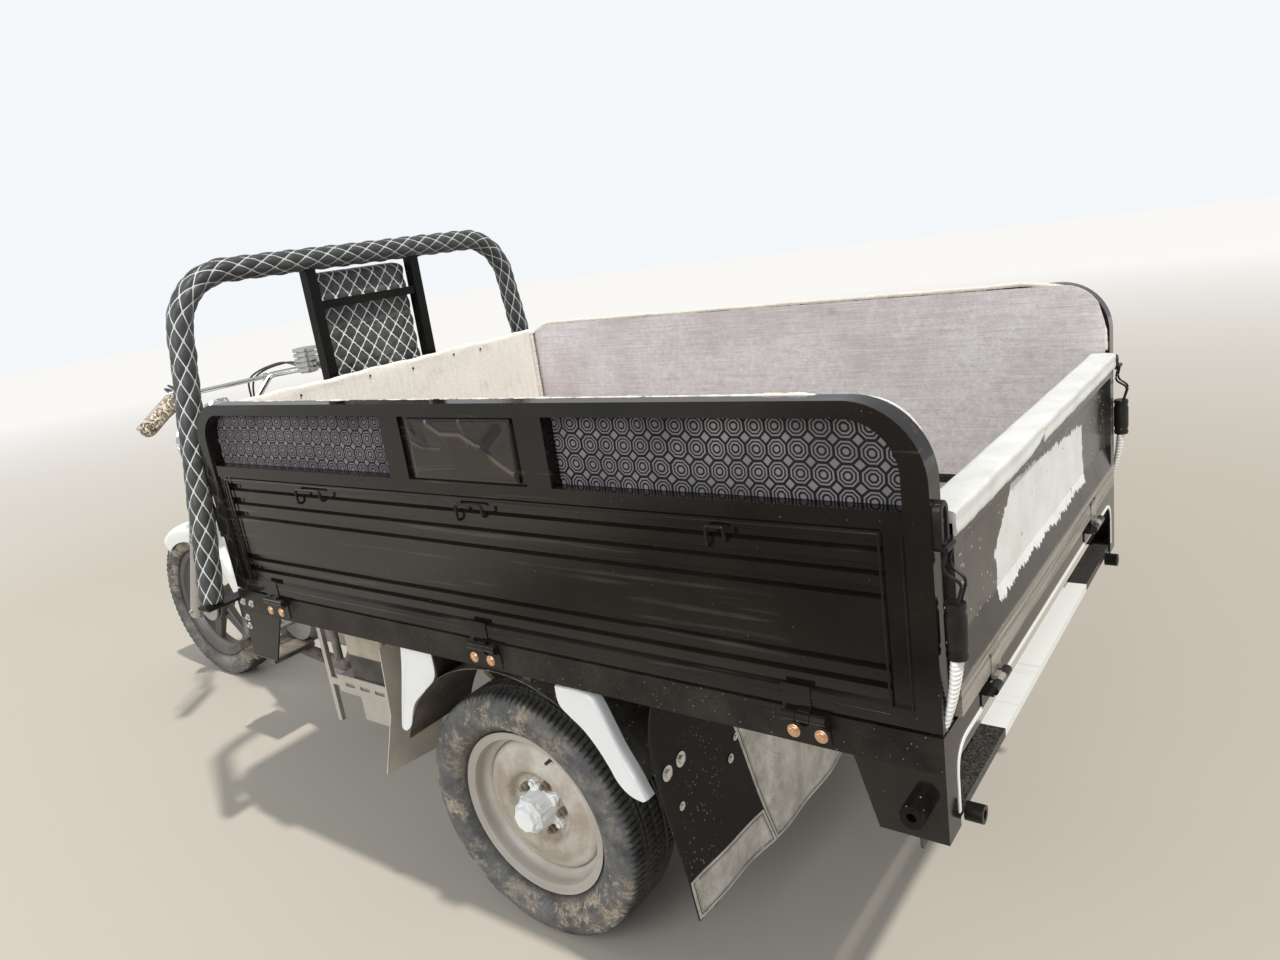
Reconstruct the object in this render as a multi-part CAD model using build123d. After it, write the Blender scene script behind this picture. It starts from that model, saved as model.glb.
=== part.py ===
from build123d import *
import math
import os

# Cargo motor tricycle with a drop-sided bed, in millimetres.
# +X points ahead, +Y to the rider's left, +Z up; the wheels stand on z = 0.
# Everything is drawn with the rear axle at x = 0, and the whole is shifted at the end
# so that the origin lies under the middle of the vehicle.

# Driving dimensions: wheels
wheelbase = 2150.0
rear_track = 880.0
inch = 25.4
rear_rim_inches = 14.0
rear_section = 175.0
rear_aspect = 0.65
front_rim_inches = 16.0
front_section = 110.0
front_aspect = 0.90
rear_rim_half = 60.0
front_rim_half = 37.0
flange_height = 17.5
rim_gauge = 3.0
seat_gap = 0.3

# Driving dimensions: bed
bed_length = 1741.0
bed_front = 787.0
bed_half = 602.0
rail_depth = 57.0
rail_top = 764.0
rail_width = 40.0
gate_gap = 6.0
gate_top = 1227.0
gate_depth = 40.0
tail_top = 1052.0
head_top = 1206.0
sheet = 2.5

# Driving dimensions: guard hoop and steering
hoop_x = 832.0
hoop_radius = 26.0
hoop_top = 1520.0
hoop_bend = 105.0
rake = 27.0
fork_offset = 40.0
fork_half = 98.0

# Running clearances
shaft_gap = 0.4
pin_gap = 0.3
swing_gap = 6.0

rear_radius = rear_rim_inches * inch / 2 + rear_aspect * rear_section
front_radius = front_rim_inches * inch / 2 + front_aspect * front_section
bed_rear = bed_front - bed_length
rail_low = rail_top - rail_depth
gate_low = rail_top + gate_gap
gate_inner = bed_half - gate_depth
wheel_y = rear_track / 2

# The cab's stations were drawn for this wheelbase and this front end of the bed
drawn_wheelbase = 2150.0
drawn_bed_front = 787.0
drawn_steer_x = 2114.36

parts = {}


def cab(x):
    """Station ahead of the bed, stretched when the wheelbase or the bed's front changes."""
    return bed_front + (x - drawn_bed_front) * (wheelbase - bed_front) / (drawn_wheelbase - drawn_bed_front)


def keep(node, *solids):
    """File the solids of one node."""
    parts[node] = list(solids)


def block(x0, x1, y0, y1, z0, z1):
    """Box between two corners."""
    return Pos((x0 + x1) / 2, (y0 + y1) / 2, (z0 + z1) / 2) * Box(x1 - x0, y1 - y0, z1 - z0)


def rod(start, end, radius):
    """Round bar between two points."""
    run = Vector(*end) - Vector(*start)
    return Solid.make_cylinder(radius, run.length, Plane(origin=start, z_dir=run))


def outline(*points):
    """Face inside straight lines between points."""
    return make_face(Polyline(*points, close=True))


def along_x(face, x0, x1):
    """Prism of a face drawn in (y, z)."""
    return extrude(Plane(origin=(x0, 0, 0), x_dir=(0, 1, 0), z_dir=(1, 0, 0)) * face, x1 - x0)


def along_y(face, y0, y1):
    """Prism of a face drawn in (x, z)."""
    return extrude(Plane(origin=(0, y1, 0), x_dir=(1, 0, 0), z_dir=(0, -1, 0)) * face, y1 - y0)


def bent_sheet(points, gauge):
    """Closed outline of a bent sheet: one skin through the points, the other a gauge to its left."""
    runs = [(Vector(*b) - Vector(*a)).normalized() for a, b in zip(points, points[1:])]
    normals = [Vector(-run.Y, run.X) for run in runs]
    other = []
    for i, point in enumerate(points):
        before = normals[max(i - 1, 0)]
        after = normals[min(i, len(normals) - 1)]
        other.append(Vector(*point) + (before + after) * (gauge / (1 + before.dot(after))))
    return make_face(Polyline(*points, *reversed(other), close=True))


def bent_bar(points, bend, radius):
    """Round bar along straight runs joined by arcs; the straight runs are true cylinders."""
    bar = None
    for run in FilletPolyline(*points, radius=bend).edges():
        if run.geom_type == GeomType.LINE:
            piece = rod(run @ 0, run @ 1, radius)
        else:
            piece = sweep(Plane(origin=run @ 0, z_dir=run % 0) * Circle(radius), path=run)
        bar = piece if bar is None else bar + piece
    return bar


def turned(face):
    """Solid of revolution about the Y axis of a face drawn in (radius, y)."""
    return revolve(face, Axis.Y)


def both_sides(solid):
    """The solid and its mirror image on the right."""
    return [solid, mirror(solid, about=Plane.XZ)]


def opposite(solids):
    """Mirror images of a list of solids."""
    return [mirror(solid, about=Plane.XZ) for solid in solids]


# Tyres and rims
def tyre(outer, seat, rim_half, gauge, section, flange):
    """Closed tyre: bead, bulged walls, shoulders and a lightly crowned tread."""
    half = section / 2
    bead_half = rim_half - gauge - seat_gap
    shoulder = half * 0.84
    tread = half * 0.74
    wall_top = outer - section * 0.075
    base = seat + seat_gap
    low = flange + 2.0
    bulge = (low + wall_top) / 2
    face = make_face(
        [
            Line((base, -bead_half), (base, bead_half)),
            Line((base, bead_half), (low, bead_half)),
            ThreePointArc((low, bead_half), (bulge, half), (wall_top, shoulder)),
            Line((wall_top, shoulder), (outer - 3.0, tread)),
            ThreePointArc((outer - 3.0, tread), (outer, 0), (outer - 3.0, -tread)),
            Line((outer - 3.0, -tread), (wall_top, -shoulder)),
            ThreePointArc((wall_top, -shoulder), (bulge, -half), (low, -bead_half)),
            Line((low, -bead_half), (base, -bead_half)),
        ]
    )
    return turned(face)


def rim_barrel(seat, flange, half, well, gauge):
    """Drop-centre rim between its two flanges."""
    right = [(flange, -half), (seat, -half + gauge), (seat - 3.0, -half * 0.5), (well, -half * 0.36)]
    left = [(r, -y) for r, y in reversed(right)]
    return turned(bent_sheet(right + left, gauge))


rear_seat = rear_rim_inches * inch / 2
rear_flange = rear_seat + flange_height
rear_well = rear_seat - 18.0
drum_radius = 108.0
drum_back = -62.0
disc_face = 16.0
disc_gauge = 3.5
hub_radius = 46.0
cap_radius = 46.0
cap_end = 86.0
axle_shaft = 17.0
stud_circle = 112.0
stud_count = 5
valve_circle = 122.0
valve_radius = 8.0

disc_profile = [
    (rear_well - rim_gauge + 0.5, 10.0),
    (150.0, 26.0),
    (128.0, 33.0),
    (108.0, 41.0),
    (90.0, 38.0),
    (76.0, disc_face),
    (30.0, disc_face),
]
rear_disc = turned(bent_sheet(disc_profile, disc_gauge))
rear_rim = rim_barrel(rear_seat, rear_flange, rear_rim_half, rear_well, rim_gauge) + rear_disc
valve_hole = Pos(valve_circle, 0, 0) * Cylinder(valve_radius, 140.0, rotation=(90, 0, 0))
rear_rim -= Rot(0, 60.0, 0) * valve_hole

drum_skin = [(drum_radius, drum_back), (drum_radius, -4.0), (48.0, 4.0)]
hub_body = Pos(0, (drum_back + disc_face) / 2 + 8, 0) * Cylinder(
    hub_radius - 6, disc_face - drum_back - 16, rotation=(90, 0, 0)
)
rear_hub = hub_body + turned(bent_sheet(drum_skin, 6.0))
flange_top = disc_face - disc_gauge - seat_gap
rear_hub += Pos(0, flange_top / 2, 0) * Cylinder(66.0, flange_top, rotation=(90, 0, 0))
for i in range(stud_count):
    stud = Pos(stud_circle / 2, disc_face + 4.0, 0) * Cylinder(6.0, 28.0, rotation=(90, 0, 0))
    nut_plane = Plane(origin=(stud_circle / 2, disc_face + seat_gap, 0), z_dir=(0, 1, 0))
    nut_face = nut_plane * RegularPolygon(10.0, 6)
    rear_hub += Rot(0, 72.0 * i, 0) * (stud + extrude(nut_face, 11.0))
cap_low = Plane(origin=(0, disc_face - 1.0, 0), z_dir=(0, 1, 0)) * RegularPolygon(cap_radius, 8)
cap_mid = Plane(origin=(0, cap_end - 26.0, 0), z_dir=(0, 1, 0)) * RegularPolygon(cap_radius - 5.0, 8)
cap_top = Plane(origin=(0, cap_end, 0), z_dir=(0, 1, 0)) * RegularPolygon(cap_radius - 18.0, 8)
rear_hub += loft([cap_low, cap_mid], ruled=True) + loft([cap_mid, cap_top], ruled=True)
end_seat = (Align.CENTER, Align.CENTER, Align.MIN)
shaft_bore = Cylinder(axle_shaft + shaft_gap, 90.0, rotation=(90, 0, 0), align=end_seat)
rear_hub -= Pos(0, disc_face - 20.0, 0) * shaft_bore
rear_rim -= Cylinder(cap_radius + 2.0, 200.0, rotation=(90, 0, 0))
for i in range(stud_count):
    stud_hole = Pos(stud_circle / 2, 0, 0) * Cylinder(6.4, 120.0, rotation=(90, 0, 0))
    rear_rim -= Rot(0, 72.0 * i, 0) * stud_hole

rear_tyre = tyre(rear_radius, rear_seat, rear_rim_half, rim_gauge, rear_section, rear_flange)
rear_place = Pos(0, wheel_y, rear_radius)
for node, solid in (("rear_tyre", rear_tyre), ("rear_wheel", rear_rim), ("rear_hub", rear_hub)):
    placed = rear_place * solid
    keep(node + "_left", placed)
    keep(node + "_right", *opposite([placed]))

front_seat = front_rim_inches * inch / 2
front_flange = front_seat + flange_height
front_well = front_seat - 14.0
front_gauge = 5.0
spoke_count = 5
front_hub_radius = 62.0
front_hub_half = 46.0
spindle_radius = 8.0

front_wheel = rim_barrel(front_seat, front_flange, front_rim_half, front_well, front_gauge)
front_wheel += Cylinder(front_hub_radius, 2 * front_hub_half, rotation=(90, 0, 0))
front_wheel += Pos(0, 30.0, 0) * Cylinder(72.0, 26.0, rotation=(90, 0, 0))
spoke_face = outline((50.0, -29.0), (front_well - 3, -21.0), (front_well - 3, 21.0), (50.0, 29.0))
spoke_slot = outline((92.0, -9.0), (front_well - 22, -6.0), (front_well - 22, 6.0), (92.0, 9.0))
spoke = along_y(spoke_face, -13.0, 13.0) - along_y(spoke_slot, -14.0, 14.0)
for i in range(spoke_count):
    front_wheel += Rot(0, 360.0 / spoke_count * i, 0) * spoke
front_wheel -= Cylinder(spindle_radius + shaft_gap, 200.0, rotation=(90, 0, 0))
front_tyre = tyre(front_radius, front_seat, front_rim_half, front_gauge, front_section, front_flange)
front_place = Pos(wheelbase, 0, front_radius)
keep("front_tyre", front_place * front_tyre)
keep("front_wheel", front_place * front_wheel)

# Rear axle: housing with its differential, brake back plates and shafts
housing_radius = 32.0
plate_y = wheel_y + drum_back - 8.0
axle = Pos(0, 0, rear_radius) * Cylinder(housing_radius, 2 * plate_y, rotation=(90, 0, 0))
axle += Pos(0, 0, rear_radius) * Sphere(105.0)
axle += Pos(90.0, 0, rear_radius) * Cylinder(52.0, 90.0, rotation=(0, 90, 0))
for side in (-1, 1):
    axle += Pos(0, side * (plate_y + 2.0), rear_radius) * Cylinder(drum_radius, 4.0, rotation=(90, 0, 0))
    end_y = wheel_y + disc_face - 24.0
    axle += rod((0, side * (plate_y - 10.0), rear_radius), (0, side * end_y, rear_radius), axle_shaft)
keep("rear_axle", axle)

# Leaf springs over the axle
rail_y = 250.0
leaf_width = 50.0
leaf_gauge = 7.0
leaf_count = 5
spring_half = 400.0
eye_z = 525.0
spring_low = rear_radius + housing_radius + 13.0
spring_mid = spring_low + leaf_count * leaf_gauge
sag = eye_z - spring_mid
leaf_radius = (spring_half**2 + sag**2) / (2 * sag)
leaf_centre = spring_mid + leaf_radius


def leaf(index):
    """One curved leaf; each lower one is shorter."""
    reach = spring_half * (1 - index / (leaf_count + 1))
    inner = leaf_radius + index * leaf_gauge
    outer = inner + leaf_gauge
    ends = []
    for radius in (inner, outer):
        drop = leaf_centre - math.sqrt(radius**2 - reach**2)
        ends.append(drop)
    face = make_face(
        [
            ThreePointArc((-reach, ends[0]), (0, leaf_centre - inner), (reach, ends[0])),
            Line((reach, ends[0]), (reach, ends[1])),
            ThreePointArc((reach, ends[1]), (0, leaf_centre - outer), (-reach, ends[1])),
            Line((-reach, ends[1]), (-reach, ends[0])),
        ]
    )
    return along_y(face, rail_y - leaf_width / 2, rail_y + leaf_width / 2)


spring = leaf(0)
for i in range(1, leaf_count):
    spring += leaf(i)
for end in (-1, 1):
    spring += Pos(end * spring_half, rail_y, eye_z) * Cylinder(16.0, leaf_width, rotation=(90, 0, 0))
pad = block(-48.0, 48.0, rail_y - 34.0, rail_y + 34.0, spring_mid, spring_mid + 12.0)
pad += block(-48.0, 48.0, rail_y - 34.0, rail_y + 34.0, rear_radius + 22.0, spring_low)
for x in (-34.0, 34.0):
    for y in (rail_y - 30.0, rail_y + 30.0):
        pad += rod((x, y, rear_radius - 44.0), (x, y, spring_mid + 26.0), 5.0)
pad += block(-48.0, 48.0, rail_y - 38.0, rail_y + 38.0, rear_radius - 42.0, rear_radius - 30.0)
pad -= Pos(0, rail_y, rear_radius) * Cylinder(housing_radius + 0.2, 120.0, rotation=(90, 0, 0))
for end in (-1, 1):
    spring -= Pos(end * spring_half, rail_y, eye_z) * Cylinder(8.0 + seat_gap, 80.0, rotation=(90, 0, 0))
spring += pad
keep("leaf_springs", *both_sides(spring))

# Chassis: two rails under the bed, hangers, cross tubes, engine cradle and steering head
rail_half = 20.0
chassis_rear = bed_rear + 44.0
chassis_front = cab(960.0)
chassis_low = rail_low - 70.0
sin_rake = math.sin(math.radians(rake))
cos_rake = math.cos(math.radians(rake))
steer_x = wheelbase - fork_offset * cos_rake
steer_z = front_radius - fork_offset * sin_rake


def on_steer(t, ahead=0.0, y=0.0):
    """Point t up the steering axis, and so far ahead of it, square to it."""
    return (steer_x - t * sin_rake + ahead * cos_rake, y, steer_z + t * cos_rake + ahead * sin_rake)


head_low_t = 612.0
head_high_t = 790.0
head_radius = 30.0
stem_radius = 17.0

frame = block(chassis_rear, chassis_front, rail_y - rail_half, rail_y + rail_half, chassis_low, rail_low)
hanger = outline(
    (spring_half - 42, chassis_low), (spring_half + 42, chassis_low), (spring_half + 18, eye_z - 14),
    (spring_half - 18, eye_z - 14),
)
shackle = mirror(hanger, about=Plane.YZ)
for plate in (hanger, shackle):
    for y in (rail_y - leaf_width / 2 - 6.0, rail_y + leaf_width / 2):
        frame += along_y(plate, y, y + 6.0)
for x in (-spring_half, spring_half):
    frame += rod((x, rail_y - 31, eye_z), (x, rail_y + 31, eye_z), 8.0)
    frame += block(x - 42, x + 42, rail_y - 31, rail_y + 31, chassis_low - 6, chassis_low)
tube = 19.0
cradle_z = 300.0
tank_low = 776.0
tank_pad = 8.0
seat_box_low = 752.0
cradle_rear = cab(1060.0)
cradle_front = cab(1440.0)
seat_tube_x = cab(1130.0)
tank_tube_x = cab(1450.0)
lower_run = [(cab(900), rail_y - 8, chassis_low + 20), (cab(985), 205, 380), (cradle_rear, 190, cradle_z)]
lower_run += [(cradle_front, 150, cradle_z), (cab(1585), 95, 480), (cab(1650), 62, 715)]
lower_run.append(on_steer(head_low_t + 96, -8, 20))
upper_run = [(cab(900), rail_y - 8, rail_low - 22), (seat_tube_x, 175, 705), (tank_tube_x, 100, 745)]
upper_run.append(on_steer(head_high_t - 50, -8, 18))
frame += bent_bar(lower_run, 40.0, tube)
frame += bent_bar(upper_run, 60.0, tube)
frame += rod((seat_tube_x, 172, 700), (cab(1110), 186, cradle_z), 13.0)
frame += rod((tank_tube_x, 100, 745), (cradle_front, 148, cradle_z), 13.0)
halves = both_sides(frame)
frame = halves[0] + halves[1]
for x in (chassis_rear + 20, -spring_half, spring_half, chassis_front - 20):
    frame += block(x - 20, x + 20, -rail_y, rail_y, chassis_low + 12, rail_low - 12)
engine_feet = (cab(1095.0), cab(1405.0))
frame += rod((engine_feet[0], -185, cradle_z), (engine_feet[0], 185, cradle_z), 15.0)
frame += rod((engine_feet[1], -152, cradle_z), (engine_feet[1], 152, cradle_z), 15.0)
frame += rod((seat_tube_x, -175, 703), (seat_tube_x, 175, 703), 15.0)
frame += rod((tank_tube_x, -100, 745), (tank_tube_x, 100, 745), 15.0)
for y in (-60, 60):
    frame += block(tank_tube_x - 10, tank_tube_x + 10, y - 12, y + 12, 745, tank_low - tank_pad - seat_gap)
for side in (-1, 1):
    low_y, high_y = sorted((side * 185, side * 228))
    frame += block(cab(942), cab(958), low_y, high_y, 688, seat_box_low - seat_gap)
    frame += rod((cab(1290), side * 137, 726), (cab(1290), side * 137, seat_box_low - seat_gap), 9.0)
frame += rod(on_steer(head_low_t), on_steer(head_high_t), head_radius)
frame -= rod(on_steer(head_low_t - 20), on_steer(head_high_t + 20), stem_radius + shaft_gap)
keep("chassis_frame", frame)

# Engine, gearbox, exhaust and shaft drive
crank_low = 330.0
crank_high = 560.0
crank = block(cab(1080), cab(1420), -150, 140, crank_low, crank_high)
crank = fillet(crank.edges().filter_by(Axis.Y), 50.0)
crank = fillet(crank.edges().group_by(Axis.Y)[-1], 10.0)
engine = crank + Pos(cab(1330), 150, 430) * Cylinder(88, 50, rotation=(90, 0, 0))
engine += Pos(cab(1225), -155, 440) * Cylinder(76, 50, rotation=(90, 0, 0))
cylinder_lean = 12.0
barrel = Cylinder(52, 150, align=end_seat)
for i in range(7):
    barrel += Pos(0, 0, 16 + 17 * i) * extrude(RectangleRounded(150, 140, 24), 6.0)
barrel += Pos(0, 0, 132) * extrude(RectangleRounded(128, 122, 20), 46.0)
engine += Pos(cab(1340), 0, crank_high - 20) * Rot(0, cylinder_lean, 0) * barrel
for x in engine_feet:
    engine += block(x - 18, x + 18, -100, 100, cradle_z + 15 + seat_gap, crank_low + 15)
keep("engine", engine)

exhaust_run = [(cab(1437), -30, 678), (cab(1495), -30, 665), (cab(1502), -60, 400), (cab(1440), -80, 258)]
exhaust_run += [(cab(1240), -90, 250), (cab(1010), -262, 250)]
exhaust = bent_bar(exhaust_run, 40.0, 17.0)
exhaust += rod((cab(1020), -260, 250), (bed_front - 47, -298, 262), 45.0)
exhaust += rod((bed_front - 42, -297, 262), (bed_front - 147, -308, 266), 16.0)
exhaust += block(cab(835), cab(850), -rail_y - rail_half - 5, -rail_y - rail_half, 290, chassis_low + 30)
keep("exhaust", exhaust)

nose = Vector(142, 0, rear_radius)
output = Vector(cab(1073), -40, 430)
shaft = rod(nose, output, 24.0)
shaft += rod(nose, nose + (output - nose) * 0.07, 40.0)
shaft += rod(output - (output - nose) * 0.07, output, 40.0)
keep("propshaft", shaft)

# Bed frame, floor, skirts and legs
cross_depth = 40.0
bed_frame = block(bed_rear + 4, bed_front, gate_inner, bed_half, rail_low, rail_top)
pair = both_sides(bed_frame)
bed_frame = pair[0] + pair[1]
bed_frame += block(bed_front - rail_width, bed_front, -gate_inner, gate_inner, rail_low, rail_top)
floor_rear = bed_rear + 4 + rail_width
bed_frame += block(bed_rear + 4, floor_rear, -gate_inner, gate_inner, rail_low + 14, rail_top)
cross_x = [bed_rear + bed_length * i / 6 for i in range(1, 6)]
for x in cross_x:
    bed_frame += block(x - 20, x + 20, -gate_inner, gate_inner, rail_low, rail_low + cross_depth)
keep("bed_frame", bed_frame)

floor_z = rail_low + cross_depth
keep("bed_floor", block(floor_rear, bed_front - rail_width, -gate_inner, gate_inner, floor_z, floor_z + 3))

leg_low = 597.0
leg_width = 50.0
skirt_low = 720.0
skirt = outline(
    (-bed_half, rail_top),
    (-bed_half, leg_low),
    (-bed_half + leg_width, leg_low),
    (-bed_half + leg_width, skirt_low),
    (bed_half - leg_width, skirt_low),
    (bed_half - leg_width, leg_low),
    (bed_half, leg_low),
    (bed_half, rail_top),
)
inner_corners = [v for v in skirt.vertices() if abs(v.Y - skirt_low) < 1 and abs(v.X) < bed_half]
skirt = fillet(inner_corners, 50.0)
rear_skirt = along_x(skirt, bed_rear, bed_rear + 4)
side_leg = outline(
    (bed_rear + 4, rail_low), (bed_rear + 4, leg_low), (bed_rear + 101, leg_low), (bed_rear + 133, rail_low)
)
for plate in both_sides(along_y(side_leg, bed_half - 4, bed_half)):
    rear_skirt += plate
keep("rear_skirt", rear_skirt)

front_leg_low = 585.0
front_leg = outline(
    (bed_front, rail_low),
    (bed_front, front_leg_low),
    (bed_front - 95, front_leg_low),
    (bed_front - 155, rail_low),
)
corner = along_y(front_leg, bed_half - 4, bed_half)
corner += block(bed_front, bed_front + 4, bed_half - 70, bed_half, front_leg_low, rail_top)
keep("front_corner_legs", *both_sides(corner))

# Rear bumper, a pressed channel with a step on top, and rubber buffers
bumper_top = 617.0
bumper_deep = 40.0
bumper_lip = 15.0
bumper_gauge = 4.0
bumper_back = bed_rear + 4.0
bumper_skin = [
    (bumper_back, bumper_top - bumper_lip),
    (bumper_back, bumper_top),
    (bumper_back + bumper_deep, bumper_top),
    (bumper_back + bumper_deep, bumper_top - bumper_deep),
]
keep("rear_bumper", along_y(bent_sheet(bumper_skin, -bumper_gauge), -bed_half + 4, bed_half - 4))
buffer_radius = 14.0
side_buffer_radius = 18.0
rear_buffer = 22.0
side_buffer = 32.0
buffer_y = bed_half - 87.0
buffer_z = bumper_top - 20.0
side_buffer_x = bed_rear + 40.0
side_buffer_z = 651.0
buffer_bore = 7.0
rear_end = bed_rear - rear_buffer
side_end = bed_half + side_buffer
rear_stop = rod((bumper_back, buffer_y, buffer_z), (rear_end, buffer_y, buffer_z), buffer_radius)
rear_stop -= rod((rear_end + 16, buffer_y, buffer_z), (rear_end - 5, buffer_y, buffer_z), buffer_bore)
side_stop = rod(
    (side_buffer_x, bed_half, side_buffer_z), (side_buffer_x, side_end, side_buffer_z), side_buffer_radius
)
side_stop -= rod(
    (side_buffer_x, side_end - 22, side_buffer_z), (side_buffer_x, side_end + 5, side_buffer_z), buffer_bore
)
keep("rubber_buffers", *both_sides(rear_stop), *both_sides(side_stop))

# Side gates
hinge_y = bed_half + 10.0
hinge_z = rail_top - 7.0
knuckle = 7.5
pin = 4.0
post_face = 36.0
top_face = 24.0
mid_low = 1055.0
mid_high = 1080.0
window_low = mid_high
window_high = gate_top - top_face
corner_rear = 110.0
corner_front = 100.0
gate_front = bed_front
gate_rear = bed_rear


def rounded_panel(x0, x1, z0, z1, rear_bend, front_bend):
    """Panel outline in (x, z) with its two upper corners rounded."""
    face = outline((x0, z0), (x1, z0), (x1, z1), (x0, z1))
    upper = [v for v in face.vertices() if v.Y > (z0 + z1) / 2]
    rear = [v for v in upper if v.X < (x0 + x1) / 2]
    face = fillet(rear, rear_bend)
    front = [v for v in face.vertices() if abs(v.X - x1) < 0.01 and abs(v.Y - z1) < 0.01]
    return fillet(front, front_bend)


outer_panel = rounded_panel(gate_rear, gate_front, gate_low, gate_top, corner_rear, corner_front)
inner_rear = gate_rear + post_face
inner_front = gate_front - post_face
inner_panel = rounded_panel(
    inner_rear, inner_front, gate_low + 28.0, window_high, corner_rear - 34.0, corner_front - 30.0
)
gate = along_y(outer_panel, gate_inner, bed_half) - along_y(inner_panel, gate_inner - 1, bed_half + 1)
gate += block(inner_rear - 1, inner_front + 1, gate_inner + 6, bed_half - 4, mid_low, mid_high)
for x0, x1 in ((inner_rear - 1, inner_rear + 34), (inner_front - 36, inner_front + 1)):
    gate += block(x0, x1, gate_inner + 6, bed_half - 6, gate_low + 20, mid_low + 2)
plate_rear = -262.0
plate_front = 46.0
post_wide = 55.0
for x0, x1 in ((plate_front, plate_front + post_wide), (plate_rear - post_wide, plate_rear)):
    gate += block(x0, x1, gate_inner + 6, bed_half - 4, mid_high - 1, window_high + 1)
plate_low = mid_high - 1
plate_high = window_high + 1
badge_plate = block(plate_rear - 1, plate_front + 1, bed_half - 14, bed_half - 11, plate_low, plate_high)
raised = block(
    plate_rear + 16, plate_front - 16, bed_half - 12, bed_half - 7, plate_low + 15, plate_high - 15
)
raised = chamfer(raised.faces().sort_by(Axis.Y)[-1].edges(), 3.0)
gate += badge_plate + raised

hinge_spots = (616.0, -81.0, -752.0)
hinge_parts = []
for x in hinge_spots:
    strap = block(x - 10, x + 37, bed_half, bed_half + 2.0, hinge_z + 8.5, gate_low + 34)
    strap += block(x - 10, x + 10, bed_half, hinge_y, hinge_z + 2, hinge_z + knuckle + 3)
    strap += rod((x - 11, hinge_y, hinge_z), (x + 11, hinge_y, hinge_z), knuckle)
    strap -= rod((x - 40, hinge_y, hinge_z), (x + 40, hinge_y, hinge_z), pin + pin_gap)
    gate += strap
    plate = block(x - 37, x + 37, bed_half, bed_half + 2.0, rail_low + 8, hinge_z - knuckle - 1.5)
    for side in (-1, 1):
        x0 = x + side * 24.0
        plate += block(x0 - 12, x0 + 12, bed_half, hinge_y, hinge_z - knuckle - 3, hinge_z - 1)
        plate += rod((x0 - 12, hinge_y, hinge_z), (x0 + 12, hinge_y, hinge_z), knuckle)
    plate += rod((x - 36, hinge_y, hinge_z), (x + 36, hinge_y, hinge_z), pin)
    hinge_parts.append(plate)

panel_rear = inner_rear + 34.0
panel_front = inner_front - 36.0
panel_low = gate_low + 28.0
panel_high = mid_low
skin_y = bed_half - 8.0


def ribs(low, high, depth):
    """Pressed skin in (y, z), drawn upwards: two grooves below, a broad field, three grooves above."""
    points = [(skin_y, low)]
    for groove_low, groove_high in ((low + 22, low + 38), (low + 50, low + 66)):
        points += [(skin_y, groove_low), (skin_y - depth, groove_low + 4)]
        points += [(skin_y - depth, groove_high - 4), (skin_y, groove_high)]
    for groove_high in (high - 84, high - 50, high - 16):
        points += [(skin_y, groove_high - 18), (skin_y - depth, groove_high - 14)]
        points += [(skin_y - depth, groove_high - 4), (skin_y, groove_high)]
    points.append((skin_y, high))
    return bent_sheet(points, sheet)


panel = along_x(ribs(panel_low, panel_high, 9.0), panel_rear, panel_front)
lining_gauge = 6.0
lining_top = gate_top - 6.0
lining = rounded_panel(
    gate_rear + 12, gate_front - 30.0, gate_low + 4, lining_top, corner_rear - 8.0, corner_front - 20.0
)
lining = along_y(lining, gate_inner - lining_gauge, gate_inner - seat_gap)
cloth_y = bed_half - 30.0
cloths = []
window_sheet = rounded_panel(
    inner_rear + 0.5,
    inner_front - 0.5,
    gate_low + 28.0,
    window_high - 0.5,
    corner_rear - 34.5,
    corner_front - 30.5,
)
window_sheet = along_y(window_sheet, cloth_y - 2, cloth_y)
for x0, x1 in ((inner_rear, plate_rear - post_wide - 0.5), (plate_front + post_wide + 0.5, inner_front)):
    cloths.append(window_sheet & block(x0, x1, cloth_y - 5, cloth_y + 5, window_low + 0.5, window_high))

latch_top = gate_top - 130.0


def latch(x, out):
    """Toggle latch on the end of a gate: slotted strap, bail, body and tapered handle."""
    mid_y = (gate_inner + bed_half) / 2 + 2.0
    x_face = x + out * 3.0
    lo, hi = sorted((x, x_face))
    strap_face = SlotOverall(74.0, 24.0, rotation=90) - Pos(0, 12.0) * SlotOverall(34.0, 9.0, rotation=90)
    strap = along_x(Pos(mid_y, latch_top - 34.0) * strap_face, lo, hi)
    body_x = sorted((x, x + out * 12.0))
    body = block(body_x[0], body_x[1], mid_y - 11, mid_y + 11, latch_top - 190, latch_top - 130)
    for y in (mid_y - 8, mid_y + 8):
        body += rod((x + out * 6.0, y, latch_top - 70), (x + out * 6.0, y, latch_top - 150), 2.5)
    body += rod((x + out * 6.0, mid_y - 8, latch_top - 70), (x + out * 6.0, mid_y + 8, latch_top - 70), 2.5)
    grip_top = latch_top - 185
    grip_low = latch_top - 275
    grip = outline(
        (mid_y - 9, grip_top), (mid_y + 9, grip_top), (mid_y + 5, grip_low), (mid_y - 5, grip_low)
    )
    grip_x = sorted((x + out * 3.0, x + out * 13.0))
    body += along_x(grip, grip_x[0], grip_x[1])
    return [strap, body]


latches = latch(gate_rear, -1) + latch(gate_front, 1)
for side, turn in (("left", list), ("right", opposite)):
    keep("gate_frame_" + side, *turn([gate]))
    keep("gate_panel_" + side, *turn([panel]))
    keep("gate_lining_" + side, *turn([lining] + cloths))
    keep("gate_latches_" + side, *turn(latches))

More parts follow.
